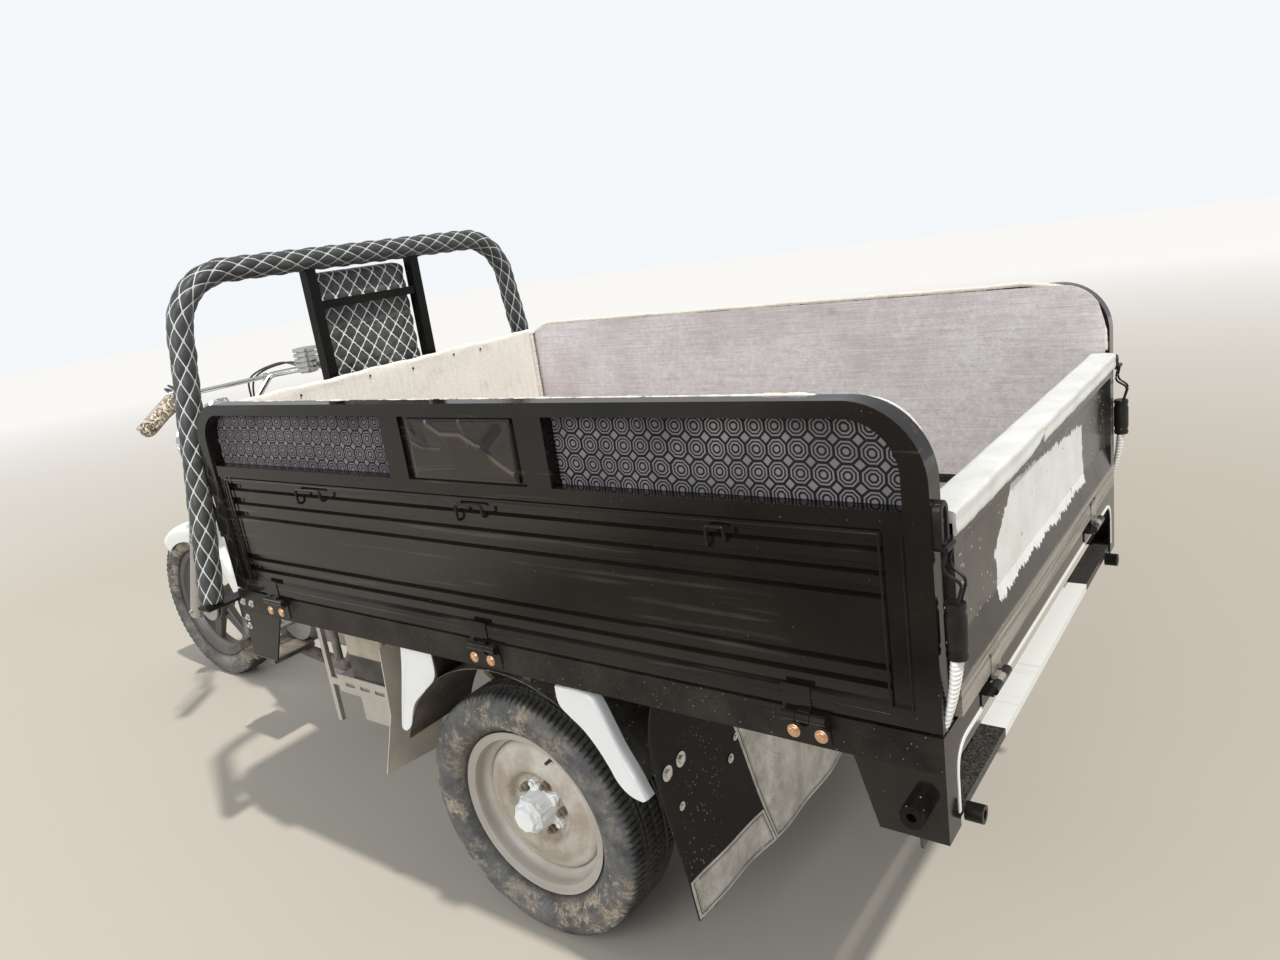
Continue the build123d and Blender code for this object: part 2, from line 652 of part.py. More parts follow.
# Tailgate
tail_half = gate_inner - lining_gauge - swing_gap - 1.0
tail_out = bed_rear - 9.0
tail_in = tail_out + 36.0
tail_low = gate_low
tail_post = 34.0
ledge_low = tail_low + 50.0
ledge_high = tail_low + 100.0
ledge_deep = 12.0
tail_head = tail_top - 30.0
tail_skin_x = tail_out + ledge_deep
hole_half = tail_half - tail_post
tail_edge = outline(
    (-tail_half, tail_low), (tail_half, tail_low), (tail_half, tail_top), (-tail_half, tail_top)
)
tail_hole = outline(
    (-hole_half, ledge_high), (hole_half, ledge_high), (hole_half, tail_head), (-hole_half, tail_head)
)
tail = along_x(tail_edge, tail_out, tail_in) - along_x(tail_hole, tail_out - 1, tail_in + 1)
slope = outline((tail_out, ledge_low), (tail_out, ledge_high + 1), (tail_skin_x, ledge_high + 1))
tail -= along_y(slope, -hole_half, hole_half)
for y in (-tail_half / 3, tail_half / 3):
    tail += block(tail_skin_x + sheet, tail_in, y - 14, y + 14, ledge_high - 1, tail_head + 1)
tail_hinge_x = tail_out - 10.0
for y in (-305.0, 405.0):
    strap = block(tail_out - 2.0, tail_out, y - 34, y + 12, hinge_z + 8.5, gate_low + 34)
    strap += block(tail_hinge_x, tail_out, y - 10, y + 10, hinge_z + 2, hinge_z + knuckle + 3)
    strap += rod((tail_hinge_x, y - 11, hinge_z), (tail_hinge_x, y + 11, hinge_z), knuckle)
    strap -= rod((tail_hinge_x, y - 40, hinge_z), (tail_hinge_x, y + 40, hinge_z), pin + pin_gap)
    tail += strap
    plate = block(bed_rear - 2.0, bed_rear, y - 36, y + 36, skirt_low + 4, hinge_z - knuckle - 1.5)
    for side in (-1, 1):
        y0 = y + side * 24.0
        plate += block(tail_hinge_x, bed_rear, y0 - 12, y0 + 12, hinge_z - knuckle - 3, hinge_z - 1)
        plate += rod((tail_hinge_x, y0 - 12, hinge_z), (tail_hinge_x, y0 + 12, hinge_z), knuckle)
    plate += rod((tail_hinge_x, y - 36, hinge_z), (tail_hinge_x, y + 36, hinge_z), pin)
    hinge_parts.append(plate)
keep("tailgate_frame", tail)
tail_skin = block(tail_skin_x, tail_skin_x + sheet, -hole_half, hole_half, ledge_high, tail_head)
keep("tailgate_panel", tail_skin)
cap_wrap = 4.0
cap_hem = 14.0
tail_cap = block(
    tail_out - cap_wrap, tail_in + 13, -tail_half, tail_half, tail_top + seat_gap, tail_top + 16
)
tail_cap = fillet(tail_cap.edges().filter_by(Axis.Y).group_by(Axis.Z)[-1], 7.0)
tail_cap += block(
    tail_out - cap_wrap, tail_out - seat_gap, -tail_half, tail_half, tail_top - cap_hem, tail_top + 4
)
keep("tailgate_cap", tail_cap)
side_hinges = hinge_parts[:3]
keep("hinge_plates", *side_hinges, *opposite(side_hinges), *hinge_parts[3:])

# Headboard and its lining
head_half = gate_inner - lining_gauge - swing_gap
board = block(bed_front - 27, bed_front - 2, -head_half, head_half, rail_top, head_top)
board -= block(bed_front - 22, bed_front, -head_half + 28, -14, rail_top + 30, head_top - 28)
board -= block(bed_front - 22, bed_front, 14, head_half - 28, rail_top + 30, head_top - 28)
keep("headboard", board)
keep(
    "headboard_lining",
    block(
        bed_front - 33,
        bed_front - 27 - seat_gap,
        -head_half + 2,
        head_half - 2,
        rail_top + 1,
        head_top + 2,
    ),
)

# Guard hoop with its splayed legs, and the backrest in it
splay = 0.145
hoop_foot = 742.0
foot_half = 553.0 + splay * (1420.0 - hoop_foot)
crest_half = 553.0 - splay * (hoop_top - 1420.0) - 6.0
crest_z = hoop_top
hoop_run = [
    (hoop_x, foot_half, hoop_foot), (hoop_x, crest_half, crest_z), (hoop_x, -crest_half, crest_z),
    (hoop_x, -foot_half, hoop_foot),
]
hoop = bent_bar(hoop_run, hoop_bend, hoop_radius)
keep("guard_hoop", hoop)
foot_top = hoop_foot - hoop_radius * math.sin(math.atan(splay)) - seat_gap
foot_plate = block(hoop_x - 30, hoop_x + 20, bed_half - 60, foot_half + 28, foot_top - 6, foot_top)
foot_plate += block(bed_front + 4, hoop_x - 20, bed_half - 60, bed_half - 4, foot_top - 54, foot_top)
foot_plates = both_sides(foot_plate)

post_y = 176.0
post_size = 30.0
post_front = hoop_x + post_size / 2
post_rear = hoop_x - post_size / 2
post_foot = 704.0
post_out = post_y + post_size / 2
back_frame = block(
    post_rear, post_front, post_y - post_size / 2, post_out, post_foot, hoop_top - hoop_radius + 1
)
halves = both_sides(back_frame)
back_frame = halves[0] + halves[1]
back_frame += block(post_rear + 4, post_front - 4, -post_y, post_y, hoop_top - 132, hoop_top - 110)
back_frame += block(post_rear + 4, post_front - 4, -post_y, post_y, 960, 990)
back_frame += block(bed_front, post_front, -post_out, post_out, post_foot, post_foot + 30)
for piece in foot_plates:
    back_frame += piece
back_frame += block(bed_front, hoop_x, -post_y - 5, post_y + 5, rail_low + 6, rail_top - 10)
back_frame -= rod((hoop_x, -450, hoop_top), (hoop_x, 450, hoop_top), hoop_radius + 0.2)
keep("backrest_frame", *back_frame.solids())
pad_half = post_y - post_size / 2 - seat_gap
back_pad = block(post_front - 4 + seat_gap, post_front + 58, -pad_half, pad_half, 905, hoop_top - 36)
back_pad = fillet(back_pad.edges().filter_by(Axis.X), 30.0)
back_pad = fillet(back_pad.faces().sort_by(Axis.X)[-1].edges(), 18.0)
keep("backrest_pad", back_pad)

# Seat, its box, fuel tank, footboards
seat_z = 800.0
seat_rear = cab(920.0)
seat_front = cab(1345.0)
seat_box = block(seat_rear, seat_front - 30, -200, 200, seat_box_low, seat_z)
seat_box = fillet(seat_box.edges().filter_by(Axis.Z), 20.0)
keep("seat_base", seat_box)
seat_face = outline(
    (seat_rear, seat_z + seat_gap), (seat_front, seat_z + seat_gap), (seat_front + 15, seat_z + 60),
    (seat_rear + 150, seat_z + 74), (seat_rear, seat_z + 86),
)
seat = along_y(seat_face, -225, 225)
seat = fillet(seat.edges().filter_by(Axis.Y).group_by(Axis.Z)[-1], 24.0)
keep("rider_seat", seat)


def tank_section(x, half, low, high, bend):
    """Rounded cross-section of the tank at x."""
    middle = (low + high) / 2
    face = RectangleRounded(2 * half, high - low, bend)
    return Plane(origin=(x, 0, middle), x_dir=(0, 1, 0), z_dir=(1, 0, 0)) * face


tank_table = (
    # x, half width, bottom, top, corner
    (cab(1372.0), 88.0, tank_low + 14.0, 900.0, 30.0),
    (tank_tube_x, 128.0, tank_low, 975.0, 55.0),
    (cab(1580.0), 132.0, tank_low + 86.0, 1008.0, 52.0),
    (cab(1665.0), 84.0, tank_low + 142.0, 996.0, 28.0),
)
tank = loft([tank_section(*row) for row in tank_table])
tank += Pos(cab(1510), 0, 994) * Cylinder(34, 26)
tank += block(tank_tube_x - 14, tank_tube_x + 14, -76, 76, tank_low - tank_pad, tank_low + 12)
keep("fuel_tank", tank)

# Foot plates on the cradle, brake pedal on the right and gear lever on the left
plate_z = 338.0
plate_rear_x = cab(1272.0)
plate_front_x = cab(1468.0)
footboard = block(plate_rear_x, plate_front_x, 178, 306, plate_z, plate_z + 4)
footboard += block(plate_front_x - 4, plate_front_x, 178, 306, plate_z, plate_z + 34)
for x in (cab(1300), cab(1400)):
    footboard += block(x - 15, x + 15, 153, 300, cradle_z + tube + seat_gap, plate_z)
boards = both_sides(footboard)
shift_x = cab(1330.0)
pedal = rod((shift_x, -150 - seat_gap, 380), (shift_x, -230, 380), 9.0)
pedal += rod((shift_x, -226, 380), (cab(1500), -240, 400), 7.0)
pedal += block(cab(1485), cab(1545), -275, -225, 396, 410)
gear = rod((shift_x, 175 + seat_gap, 410), (shift_x, 235, 410), 8.0)
gear += rod((shift_x, 230, 410), (cab(1450), 245, 404), 6.0)
gear += rod((cab(1450), 225, 404), (cab(1450), 275, 404), 9.0)
keep("footboards", *boards)
keep("foot_pedals", pedal, gear)

# Battery box with its slotted carrier and a hanging stay
box_face = block(490, 640, 292, 446, 468, 596)
box_face = fillet(box_face.edges().filter_by(Axis.Z), 8.0)
lid = block(484, 646, 288, 450, 596, 612)
lid = chamfer(lid.faces().sort_by(Axis.Z)[-1].edges(), 6.0)
keep("battery_box", box_face + lid)
carrier = block(440, 700, 448, 452, 424, 474)
for x in (470, 530, 590, 650):
    carrier -= along_y(Pos(x, 449) * SlotOverall(40, 10), 440, 460)
carrier += block(440, 700, 270, 452, 462, 467.7)
for x in (486, 680):
    carrier += block(x, x + 14, 272, 276, 462, chassis_low)
    carrier += block(x, x + 14, 232, 276, chassis_low - 4, chassis_low)
carrier += block(500, 620, 430, 448.5, 356, 426)
stay = block(727, 743, 440, 452, 330, rail_low)
stay += block(700, 743, 446, 452, 440, 460)
keep("battery_carrier", carrier + stay)

# Rear wheel arches, white fender ends and mud flaps
arch_inner = 356.0
arch_gauge = 2.5
arch_y0 = wheel_y - 108.0
arch_y1 = wheel_y + 88.0


def ring_part(inner, outer, start, end):
    """Part of a flat ring about the rear axle, angles in degrees from straight ahead, counted upwards."""
    points = []
    middle = (start + end) / 2
    for radius, angles in ((inner, (start, middle, end)), (outer, (end, middle, start))):
        for angle in angles:
            turn = math.radians(angle)
            points.append((radius * math.cos(turn), rear_radius + radius * math.sin(turn)))
    return make_face(
        [
            ThreePointArc(points[0], points[1], points[2]),
            Line(points[2], points[3]),
            ThreePointArc(points[3], points[4], points[5]),
            Line(points[5], points[0]),
        ]
    )


arch = along_y(ring_part(arch_inner, arch_inner + arch_gauge, 20, 154), arch_y0, arch_y1)
for x in cross_x[2:4]:
    arch_z = rear_radius + math.sqrt(arch_inner**2 - x**2)
    arch += block(x - 10, x + 10, arch_y0 + 10, arch_y1 - 10, arch_z + 1, rail_low)
keep("wheel_arches", *both_sides(arch))
trim_y = bed_half - 15.0
trim_gauge = 4.0
trim_lip = 22.0
trim_top = rail_low - seat_gap
rear_trim_rear = [(-352, trim_top), (-357, 692), (-423, 519), (-394, 498)]
rear_trim_tyre = [(-350, 508), (-296, 584), (-235, 645)]
rear_trim = make_face(
    [
        Line((-235, trim_top), rear_trim_rear[0]),
        Polyline(*rear_trim_rear, rear_trim_tyre[0]),
        ThreePointArc(*rear_trim_tyre),
        Line(rear_trim_tyre[-1], (-235, trim_top)),
    ]
)
rear_trim = along_y(rear_trim, trim_y - trim_gauge, trim_y)
rear_trim += along_y(bent_sheet(rear_trim_rear[1:3], -trim_gauge), trim_y - trim_lip, trim_y)
front_trim = outline(
    (112, trim_top), (206, trim_top), (222, 640), (262, 505), (262, 492), (222, 510), (172, 584), (116, 645)
)
front_trim = along_y(front_trim, trim_y - trim_gauge, trim_y)
front_bead = bent_sheet([(206, trim_top), (222, 640), (262, 505)], -trim_gauge)
front_trim += along_y(front_bead, trim_y - trim_lip, trim_y)
keep("fender_ends", *both_sides(rear_trim), *both_sides(front_trim))

flap_x = -spring_half - 44.0
flap_gauge = 4.0
flap_half = gate_inner - seat_gap
flap_top = floor_z - 6.0
flap_face = outline(
    (-flap_half, flap_top),
    (flap_half, flap_top),
    (545, 470),
    (470, 165),
    (250, 215),
    (-250, 215),
    (-470, 165),
    (-545, 470),
)
rear_flap = along_x(flap_face, flap_x - flap_gauge, flap_x)
for side in (-1, 1):
    rear_flap -= block(flap_x - 20, flap_x + 20, side * rail_y - 40, side * rail_y + 40, 470, rail_low + 6)
keep("rear_mud_flap", rear_flap)
front_flap_x = 408.0
front_flap = along_x(
    outline((330, 620), (505, 620), (515, 450), (560, 318), (400, 300), (330, 450)),
    front_flap_x,
    front_flap_x + 3,
)
front_flap += block(front_flap_x, front_flap_x + 4, 440, 480, 610, rail_low - seat_gap)
front_flap += block(front_flap_x, cross_x[4], 440, 480, rail_low - 4 - seat_gap, rail_low - seat_gap)
keep("front_mud_flaps", *both_sides(front_flap))

# Fork, handlebar and what turns with them
leg_radius = 24.0
stanchion = 16.0
gaiter = 27.0
fork = rod(on_steer(head_low_t - 30), on_steer(head_high_t + 18), stem_radius)
yoke_half = fork_half + 26.0
for t0, t1 in ((head_low_t - 32, head_low_t - 2), (head_high_t + 2, head_high_t + 20)):
    yoke = Box(96.0, 2 * yoke_half, t1 - t0)
    yoke = fillet(yoke.edges().filter_by(Axis.Z), 26.0)
    centre = on_steer((t0 + t1) / 2, 22.0)
    fork += Pos(*centre) * Rot(0, -rake, 0) * yoke
for side in (-1, 1):
    y = side * fork_half
    fork += rod(on_steer(-26, fork_offset, y), on_steer(322, fork_offset, y), leg_radius)
    fork += rod(on_steer(300, fork_offset, y), on_steer(head_high_t + 24, fork_offset, y), stanchion)
    for i in range(9):
        t = 322 + 22 * i
        fork += rod(on_steer(t, fork_offset, y), on_steer(t + 14, fork_offset, y), gaiter)
        fork += rod(on_steer(t + 13, fork_offset, y), on_steer(t + 23, fork_offset, y), gaiter - 5)
spindle_end = fork_half + 30
fork += rod(
    (wheelbase, -spindle_end, front_radius), (wheelbase, spindle_end, front_radius), spindle_radius
)
for side in (-1, 1):
    y = side * (front_hub_half + 4)
    fork += rod((wheelbase, y, front_radius), (wheelbase, side * fork_half, front_radius), 16.0)
fork += rod((wheelbase, 48, front_radius), (wheelbase, 56, front_radius), 66.0)
fork += rod((wheelbase, 50, front_radius), on_steer(150, fork_offset + 40, 62), 8.0)
fork += rod(on_steer(150, fork_offset + 40, 60), on_steer(150, fork_offset, 80), 8.0)
fork -= rod((wheelbase, -47, front_radius), (wheelbase, 47.4, front_radius), 80.0)
fork += rod((wheelbase, -60, front_radius), (wheelbase, 60, front_radius), spindle_radius)
for side in (-1, 1):
    inner_y = side * (fork_half - 8)
    fork += rod(on_steer(290, fork_offset, inner_y), on_steer(290, fork_offset, side * 68.4), 9.0)
keep("fork", *fork.solids())

bar_radius = 11.0
bar_base = on_steer(head_high_t + 62, 4)
bar_back = steer_x - drawn_steer_x
grip_inner = (bar_back + 1505.0, 272.0, 1176.0)
grip_outer = (bar_back + 1430.0, 420.0, 1112.0)
half_bar = [
    (bar_base[0], 0, bar_base[2]),
    (bar_base[0], 75, bar_base[2]),
    (bar_base[0] - 45, 165, bar_base[2] + 118),
    grip_inner,
    grip_outer,
]
bar = bent_bar(half_bar, 28.0, bar_radius)
clamp_y = 28.0
bar += rod(on_steer(head_high_t + 20 + seat_gap, 4, clamp_y), (bar_base[0], clamp_y, bar_base[2]), 13.0)
bar += rod((bar_base[0], clamp_y - 12, bar_base[2]), (bar_base[0], clamp_y + 12, bar_base[2]), 18.0)


def on_grip(share):
    """Point between the grip's inner and outer ends."""
    return tuple(a + (b - a) * share for a, b in zip(grip_inner, grip_outer))


def moved_by(point, step):
    """Point moved by a step."""
    return tuple(a + d for a, d in zip(point, step))


perch_a = on_grip(-0.18)
perch_b = on_grip(0.06)
bar += rod(perch_a, perch_b, 19.0)
bar += rod(moved_by(perch_a, (12, 0, 4)), moved_by(perch_a, (62, 20, -6)), 8.0)
lever_a = moved_by(perch_a, (58, 16, -6))
lever_b = moved_by(on_grip(0.95), (66, 0, -4))
bar += rod(lever_a, lever_b, 6.0)
bar_halves = both_sides(bar)
keep("handlebar", bar_halves[0] + bar_halves[1])
grip = rod(on_grip(0.12), on_grip(1.03), 21.0) - rod(on_grip(-0.2), on_grip(1.0), bar_radius + 0.1)
keep("hand_grips", *both_sides(grip))

lamp_centre = on_steer(head_low_t + 70, 150)
lamp_x, lamp_z = lamp_centre[0], lamp_centre[2]
lamp_shell = Pos(lamp_x, 0, lamp_z) * Sphere(88)
lamp_shell &= block(lamp_x - 100, lamp_x + 20, -100, 100, lamp_z - 100, lamp_z + 100)
lamp_shell += Pos(lamp_x + 20, 0, lamp_z) * Cylinder(90, 26, rotation=(0, 90, 0))
for side in (-1, 1):
    ear = rod(on_steer(head_low_t + 70, 146, side * 78), on_steer(head_low_t + 70, 146, side * 104), 10.0)
    ear += rod(
        on_steer(head_low_t + 70, 150, side * fork_half),
        on_steer(head_low_t + 70, fork_offset + stanchion + seat_gap, side * fork_half),
        8.0,
    )
    lamp_shell += ear
gauge = Pos(*on_steer(head_high_t + 66, 74)) * Rot(0, 180 - rake - 130, 0) * Cylinder(46, 40)
lamp_shell += gauge + rod(on_steer(head_high_t + 20 + seat_gap, 60), on_steer(head_high_t + 66, 60), 10.0)
keep("headlamp", lamp_shell)
lens = Pos(lamp_x + 33.3, 0, lamp_z) * Cylinder(80, 6, rotation=(0, 90, 0), align=end_seat)
keep("headlamp_lens", lens)

fender_gap = 26.0
fender_half = 66.0
fender_in = front_radius + fender_gap
fender_side = [
    (fender_in, fender_half - 22), (fender_in - 12, fender_half - 3), (fender_in - 62, fender_half)
]
fender_skin = [(r, -y) for r, y in reversed(fender_side)] + [(fender_in + 3, 0)] + fender_side
fender_back = 78.0
fender_fore = 38.0
fender_face = bent_sheet(fender_skin[::-1], 3.0)
fender = revolve(fender_face, Axis.Y, revolution_arc=fender_back + fender_fore)
fender = Pos(wheelbase, 0, front_radius) * Rot(0, -(90 + fender_back), 0) * fender
keep("front_fender", fender)

# Origin under the middle of the vehicle, and export
front_end = wheelbase + front_radius
shift = -(front_end + rear_end) / 2
os.makedirs("parts", exist_ok=True)
for node, solids in parts.items():
    whole = solids[0] if len(solids) == 1 else Compound(solids)
    export_step(whole.moved(Location((shift, 0, 0))), "parts/" + node + ".step")
print("shift", round(shift, 3), "nodes", len(parts))
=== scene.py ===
# %% [markdown]
# # A cargo motor tricycle, dressed in cells
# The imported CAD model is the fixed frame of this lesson. It has the real sizes and the joints.
# Every cell below adds one thing to it: the camera, the light, a finish, or a piece that a plain
# solid can't show, such as quilted vinyl, tyre tread or a felt lining.
# All lengths are metres, +X is ahead, +Y is the rider's left and +Z is up.

import math

import bmesh
import bpy
import numpy as np
from mathutils import Matrix, Vector


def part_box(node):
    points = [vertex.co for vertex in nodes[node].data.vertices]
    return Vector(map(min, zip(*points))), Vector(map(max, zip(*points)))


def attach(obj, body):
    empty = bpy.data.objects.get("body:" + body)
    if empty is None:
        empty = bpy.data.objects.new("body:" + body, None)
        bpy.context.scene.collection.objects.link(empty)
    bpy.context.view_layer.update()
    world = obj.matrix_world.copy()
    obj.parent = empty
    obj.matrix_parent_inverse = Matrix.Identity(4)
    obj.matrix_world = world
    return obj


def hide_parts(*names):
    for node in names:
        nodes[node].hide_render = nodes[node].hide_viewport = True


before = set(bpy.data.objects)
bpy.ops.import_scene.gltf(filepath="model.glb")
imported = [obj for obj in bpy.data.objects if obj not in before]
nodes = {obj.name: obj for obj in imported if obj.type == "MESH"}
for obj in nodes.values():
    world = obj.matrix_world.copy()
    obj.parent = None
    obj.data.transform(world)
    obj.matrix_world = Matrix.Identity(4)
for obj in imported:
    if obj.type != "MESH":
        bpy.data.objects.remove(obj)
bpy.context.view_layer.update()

# %% [markdown]
# ## Where things are
# Pieces are placed from the frame, never by eye. The rear axle is the natural zero for a vehicle, so
# the first values are the axle's place and the sizes that several pieces share.

# %% Shared places


def box_corners(node):
    """Lowest and highest corner of a CAD node's box."""
    low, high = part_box(node)
    return np.array(low), np.array(high)


def middle(node):
    """Centre of a CAD node's box: half of the lowest corner plus the highest corner."""
    return sum(box_corners(node)) / 2


axle = middle("rear_tyre_left")
front_axle = middle("front_tyre")
AX = float(axle[0])
wheel_y = float(axle[1])
rear_radius = float(axle[2])
front_radius = float(front_axle[2])
gate_low, gate_high = box_corners("gate_frame_left")
bed_rear, bed_front = float(gate_low[0]), float(gate_high[0])
bed_half = 0.602
sides = (("left", 1), ("right", -1))
print("rear axle x %.4f, wheel y %.3f, rear radius %.3f" % (AX, wheel_y, rear_radius))

# %% [markdown]
# ## Camera
# The photograph was taken from behind the left rear corner, a little above the load bed. Its place and
# lens come from the three vanishing directions of the bed, so the camera is written as a place and a
# rotation whose columns are right, up and backwards.

# %% Camera


def put(name, data):
    """A new object in the scene."""
    made = bpy.data.objects.new(name, data)
    bpy.context.scene.collection.objects.link(made)
    return made


camera_place = (AX - 1.3430, 1.6678, 1.4676)
look_right = Vector((-0.8017, -0.5813, -0.1388))
look_ahead = Vector((0.596, -0.7603, -0.2583))
look_up = look_right.cross(look_ahead)
turn = Matrix((look_right, look_up, -look_ahead)).transposed().to_4x4()
camera_data = bpy.data.cameras.new("photo_camera")
camera_data.sensor_width = 36.0
camera_data.lens = 25.80
camera = put("photo_camera", camera_data)
camera.matrix_world = Matrix.Translation(camera_place) @ turn
bpy.context.scene.camera = camera
print("camera lens %.2f mm" % camera_data.lens)

# %% [markdown]
# ## Floor, sky and lamps
# A glossy black vehicle is mostly what it reflects. The sun stands high behind it, nearly in line with
# its length, so the near side is in open shade and is lit by the sky and by the bright ground. The world
# is a pale even sky for the camera, and a dimmer one for reflections and for what it lights. Beyond the
# camera the ground lies in the shade of the other side of the street, which only reflections show.

# %% Small node helpers


def add(tree, kind, inputs=(), **settings):
    """A new shader node with its settings; each input is a plain value or another node's socket."""
    made = tree.nodes.new(kind)
    for key, value in settings.items():
        setattr(made, key, value)
    for key, value in dict(inputs).items():
        if isinstance(value, bpy.types.NodeSocket):
            tree.links.new(value, made.inputs[key])
        else:
            made.inputs[key].default_value = value
    return made


def calc(tree, operation, *values):
    """One Math node: the result of the operation on its values."""
    return add(tree, "ShaderNodeMath", enumerate(values), operation=operation).outputs[0]


def mapped(tree, value, low, high, new_low=0.0, new_high=1.0):
    """Value stretched linearly from one range to another and held inside it."""
    spans = {0: value, 1: low, 2: high, 3: new_low, 4: new_high}
    return add(tree, "ShaderNodeMapRange", spans, clamp=True).outputs[0]


def blend(tree, share, first, second):
    """Colour between two colours: the first at share 0 and the second at share 1."""
    return add(tree, "ShaderNodeMix", {0: share, 6: first, 7: second}, data_type="RGBA").outputs[2]


def rgb(red, green, blue):
    """A colour with its alpha."""
    return (red, green, blue, 1.0)


def noise(tree, vector, scale, detail=4.0, rough=0.55):
    """Fractal noise value between 0 and 1, read at vector times scale."""
    spans = {"Vector": vector, "Scale": scale, "Detail": detail, "Roughness": rough}
    return add(tree, "ShaderNodeTexNoise", spans).outputs[0]


def object_place(tree):
    """Object coordinates: metres in the vehicle's own frame."""
    return add(tree, "ShaderNodeTexCoord").outputs["Object"]


def split(tree, vector):
    """The x, y and z of a vector."""
    return add(tree, "ShaderNodeSeparateXYZ", {0: vector}).outputs


def scaled(tree, vector, factors):
    """A vector with each of its three parts times its own factor."""
    return add(tree, "ShaderNodeVectorMath", {0: vector, 1: factors}, operation="MULTIPLY").outputs[0]


def times(tree, *values):
    """The product of two or more values."""
    total = values[0]
    for value in values[1:]:
        total = calc(tree, "MULTIPLY", total, value)
    return total


# %% Stage
floor_half = 30.0
floor_mesh = bpy.data.meshes.new("floor")
floor_corners = [(x * floor_half, y * floor_half, 0) for x, y in ((-1, -1), (1, -1), (1, 1), (-1, 1))]
floor_mesh.from_pydata(floor_corners, [], [(0, 1, 2, 3)])
floor = put("floor", floor_mesh)
floor_paint = bpy.data.materials.new("pale_floor")
floor_paint.use_nodes = True
ground = floor_paint.node_tree
floor_shader = ground.nodes["Principled BSDF"]
floor_shader.inputs["Roughness"].default_value = 0.9
ground_place = object_place(ground)
ground_x, ground_y, _ = split(ground, ground_place)
# Painted shade: beyond the camera the floor is painted dark for glossy rays only, standing in for the shade
# across the street.
beyond = mapped(ground, ground_y, 1.75, 2.15)
behind = mapped(ground, ground_x, AX + 2.2, AX + 1.3)
shaded = times(ground, beyond, behind, add(ground, "ShaderNodeLightPath").outputs["Is Glossy Ray"])
far = add(ground, "ShaderNodeVectorMath", {0: ground_place}, operation="LENGTH")
pale = blend(ground, mapped(ground, far.outputs["Value"], 3.5, 14.0), rgb(0.40, 0.37, 0.32),
             rgb(0.70, 0.70, 0.70))
ground_tone = blend(ground, shaded, pale, rgb(0.08, 0.07, 0.055))
ground.links.new(ground_tone, floor_shader.inputs["Base Color"])
floor.data.materials.append(floor_paint)

world = bpy.data.worlds.new("studio")
world.use_nodes = True
bpy.context.scene.world = world
sky = world.node_tree
background = sky.nodes["Background"]
ray = add(sky, "ShaderNodeLightPath").outputs
seen = calc(sky, "MAXIMUM", ray["Is Camera Ray"], ray["Is Transmission Ray"])
dimmed = 0.58
strength = calc(sky, "MAXIMUM", seen, dimmed)
background.inputs["Color"].default_value = rgb(0.90, 0.93, 0.96)
sky.links.new(strength, background.inputs["Strength"])


def lamp(name, place, target, size, power, colour):
    """Square soft lamp at a place, turned to its target."""
    data = bpy.data.lights.new(name, "AREA")
    data.size = size
    data.energy = power
    data.color = colour
    made = put(name, data)
    made.location = place
    made.rotation_euler = (Vector(target) - Vector(place)).to_track_quat("-Z", "Y").to_euler()


sun_data = bpy.data.lights.new("sun", "SUN")
sun_data.energy = 3.0
sun_data.angle = 0.04
sun_data.color = (1.0, 0.96, 0.90)
sun = put("sun", sun_data)
sun.rotation_euler = Vector((0.49, -0.08, -1.0)).to_track_quat("-Z", "Y").to_euler()
lamp("open_sky_near", (-1.0, 5.2, 3.6), (0, 0, 0.7), 3.5, 190.0, (0.97, 0.98, 1.0))
lamp("open_sky_front", (5.0, 2.6, 3.6), (0.4, 0, 0.6), 3.0, 60.0, (0.95, 0.97, 1.0))
bpy.context.scene.view_settings.view_transform = "Standard"
print("stage, sun and two soft lamps")

# %% [markdown]
# ## Shared surface effects
# Street dust, spattered specks, scratches, rust, cloth threads and the diamond quilting come back on
# many finishes, so each is one shader group with named inputs and outputs. A group reads Object
# coordinates, which are metres on every piece here, because all objects sit at the origin.

# %% Group maker


def new_group(name, inputs, outputs):
    """Empty shader group; inputs map a name to its kind and default, outputs map a name to its kind."""
    made = bpy.data.node_groups.new(name, "ShaderNodeTree")
    for label, (kind, value) in inputs.items():
        socket = made.interface.new_socket(name=label, in_out="INPUT", socket_type="NodeSocket" + kind)
        if value is not None:
            socket.default_value = value
    for label, kind in outputs.items():
        made.interface.new_socket(name=label, in_out="OUTPUT", socket_type="NodeSocket" + kind)
    return made, made.nodes.new("NodeGroupInput").outputs, made.nodes.new("NodeGroupOutput").inputs


# %% Dust group
dust, given, result = new_group(
    "street_dust",
    {"Clean": ("Color", rgb(0.5, 0.5, 0.5)), "Dust": ("Color", rgb(0.36, 0.31, 0.25)),
     "Amount": ("Float", 0.4), "Scale": ("Float", 6.0), "Low": ("Float", 0.35), "High": ("Float", 1.2)},
    {"Color": "Color", "Mask": "Float"},
)
where = object_place(dust)
height = split(dust, where)[2]
settled = mapped(dust, height, given["High"], given["Low"], 0.35, 1.0)
cloud = mapped(dust, noise(dust, where, given["Scale"], 8.0, 0.62), 0.34, 0.68)
grit = mapped(dust, noise(dust, where, 160.0, 3.0), 0.35, 0.7, 0.6, 1.0)
mask = times(dust, cloud, settled, grit, given["Amount"])
dust.links.new(mask, result["Mask"])
dust.links.new(blend(dust, mask, given["Clean"], given["Dust"]), result["Color"])

# %% Speck group
specks, given, result = new_group("dried_specks", {"Scale": ("Float", 90.0), "Share": ("Float", 0.3)},
                                  {"Mask": "Float"})
cells = add(specks, "ShaderNodeTexVoronoi", {"Vector": object_place(specks), "Scale": given["Scale"]})
size = add(specks, "ShaderNodeSeparateColor", {0: cells.outputs["Color"]}).outputs[0]
radius = times(specks, size, size, given["Share"])
inside = calc(specks, "SUBTRACT", radius, cells.outputs["Distance"])
specks.links.new(mapped(specks, inside, 0.0, 0.06), result["Mask"])

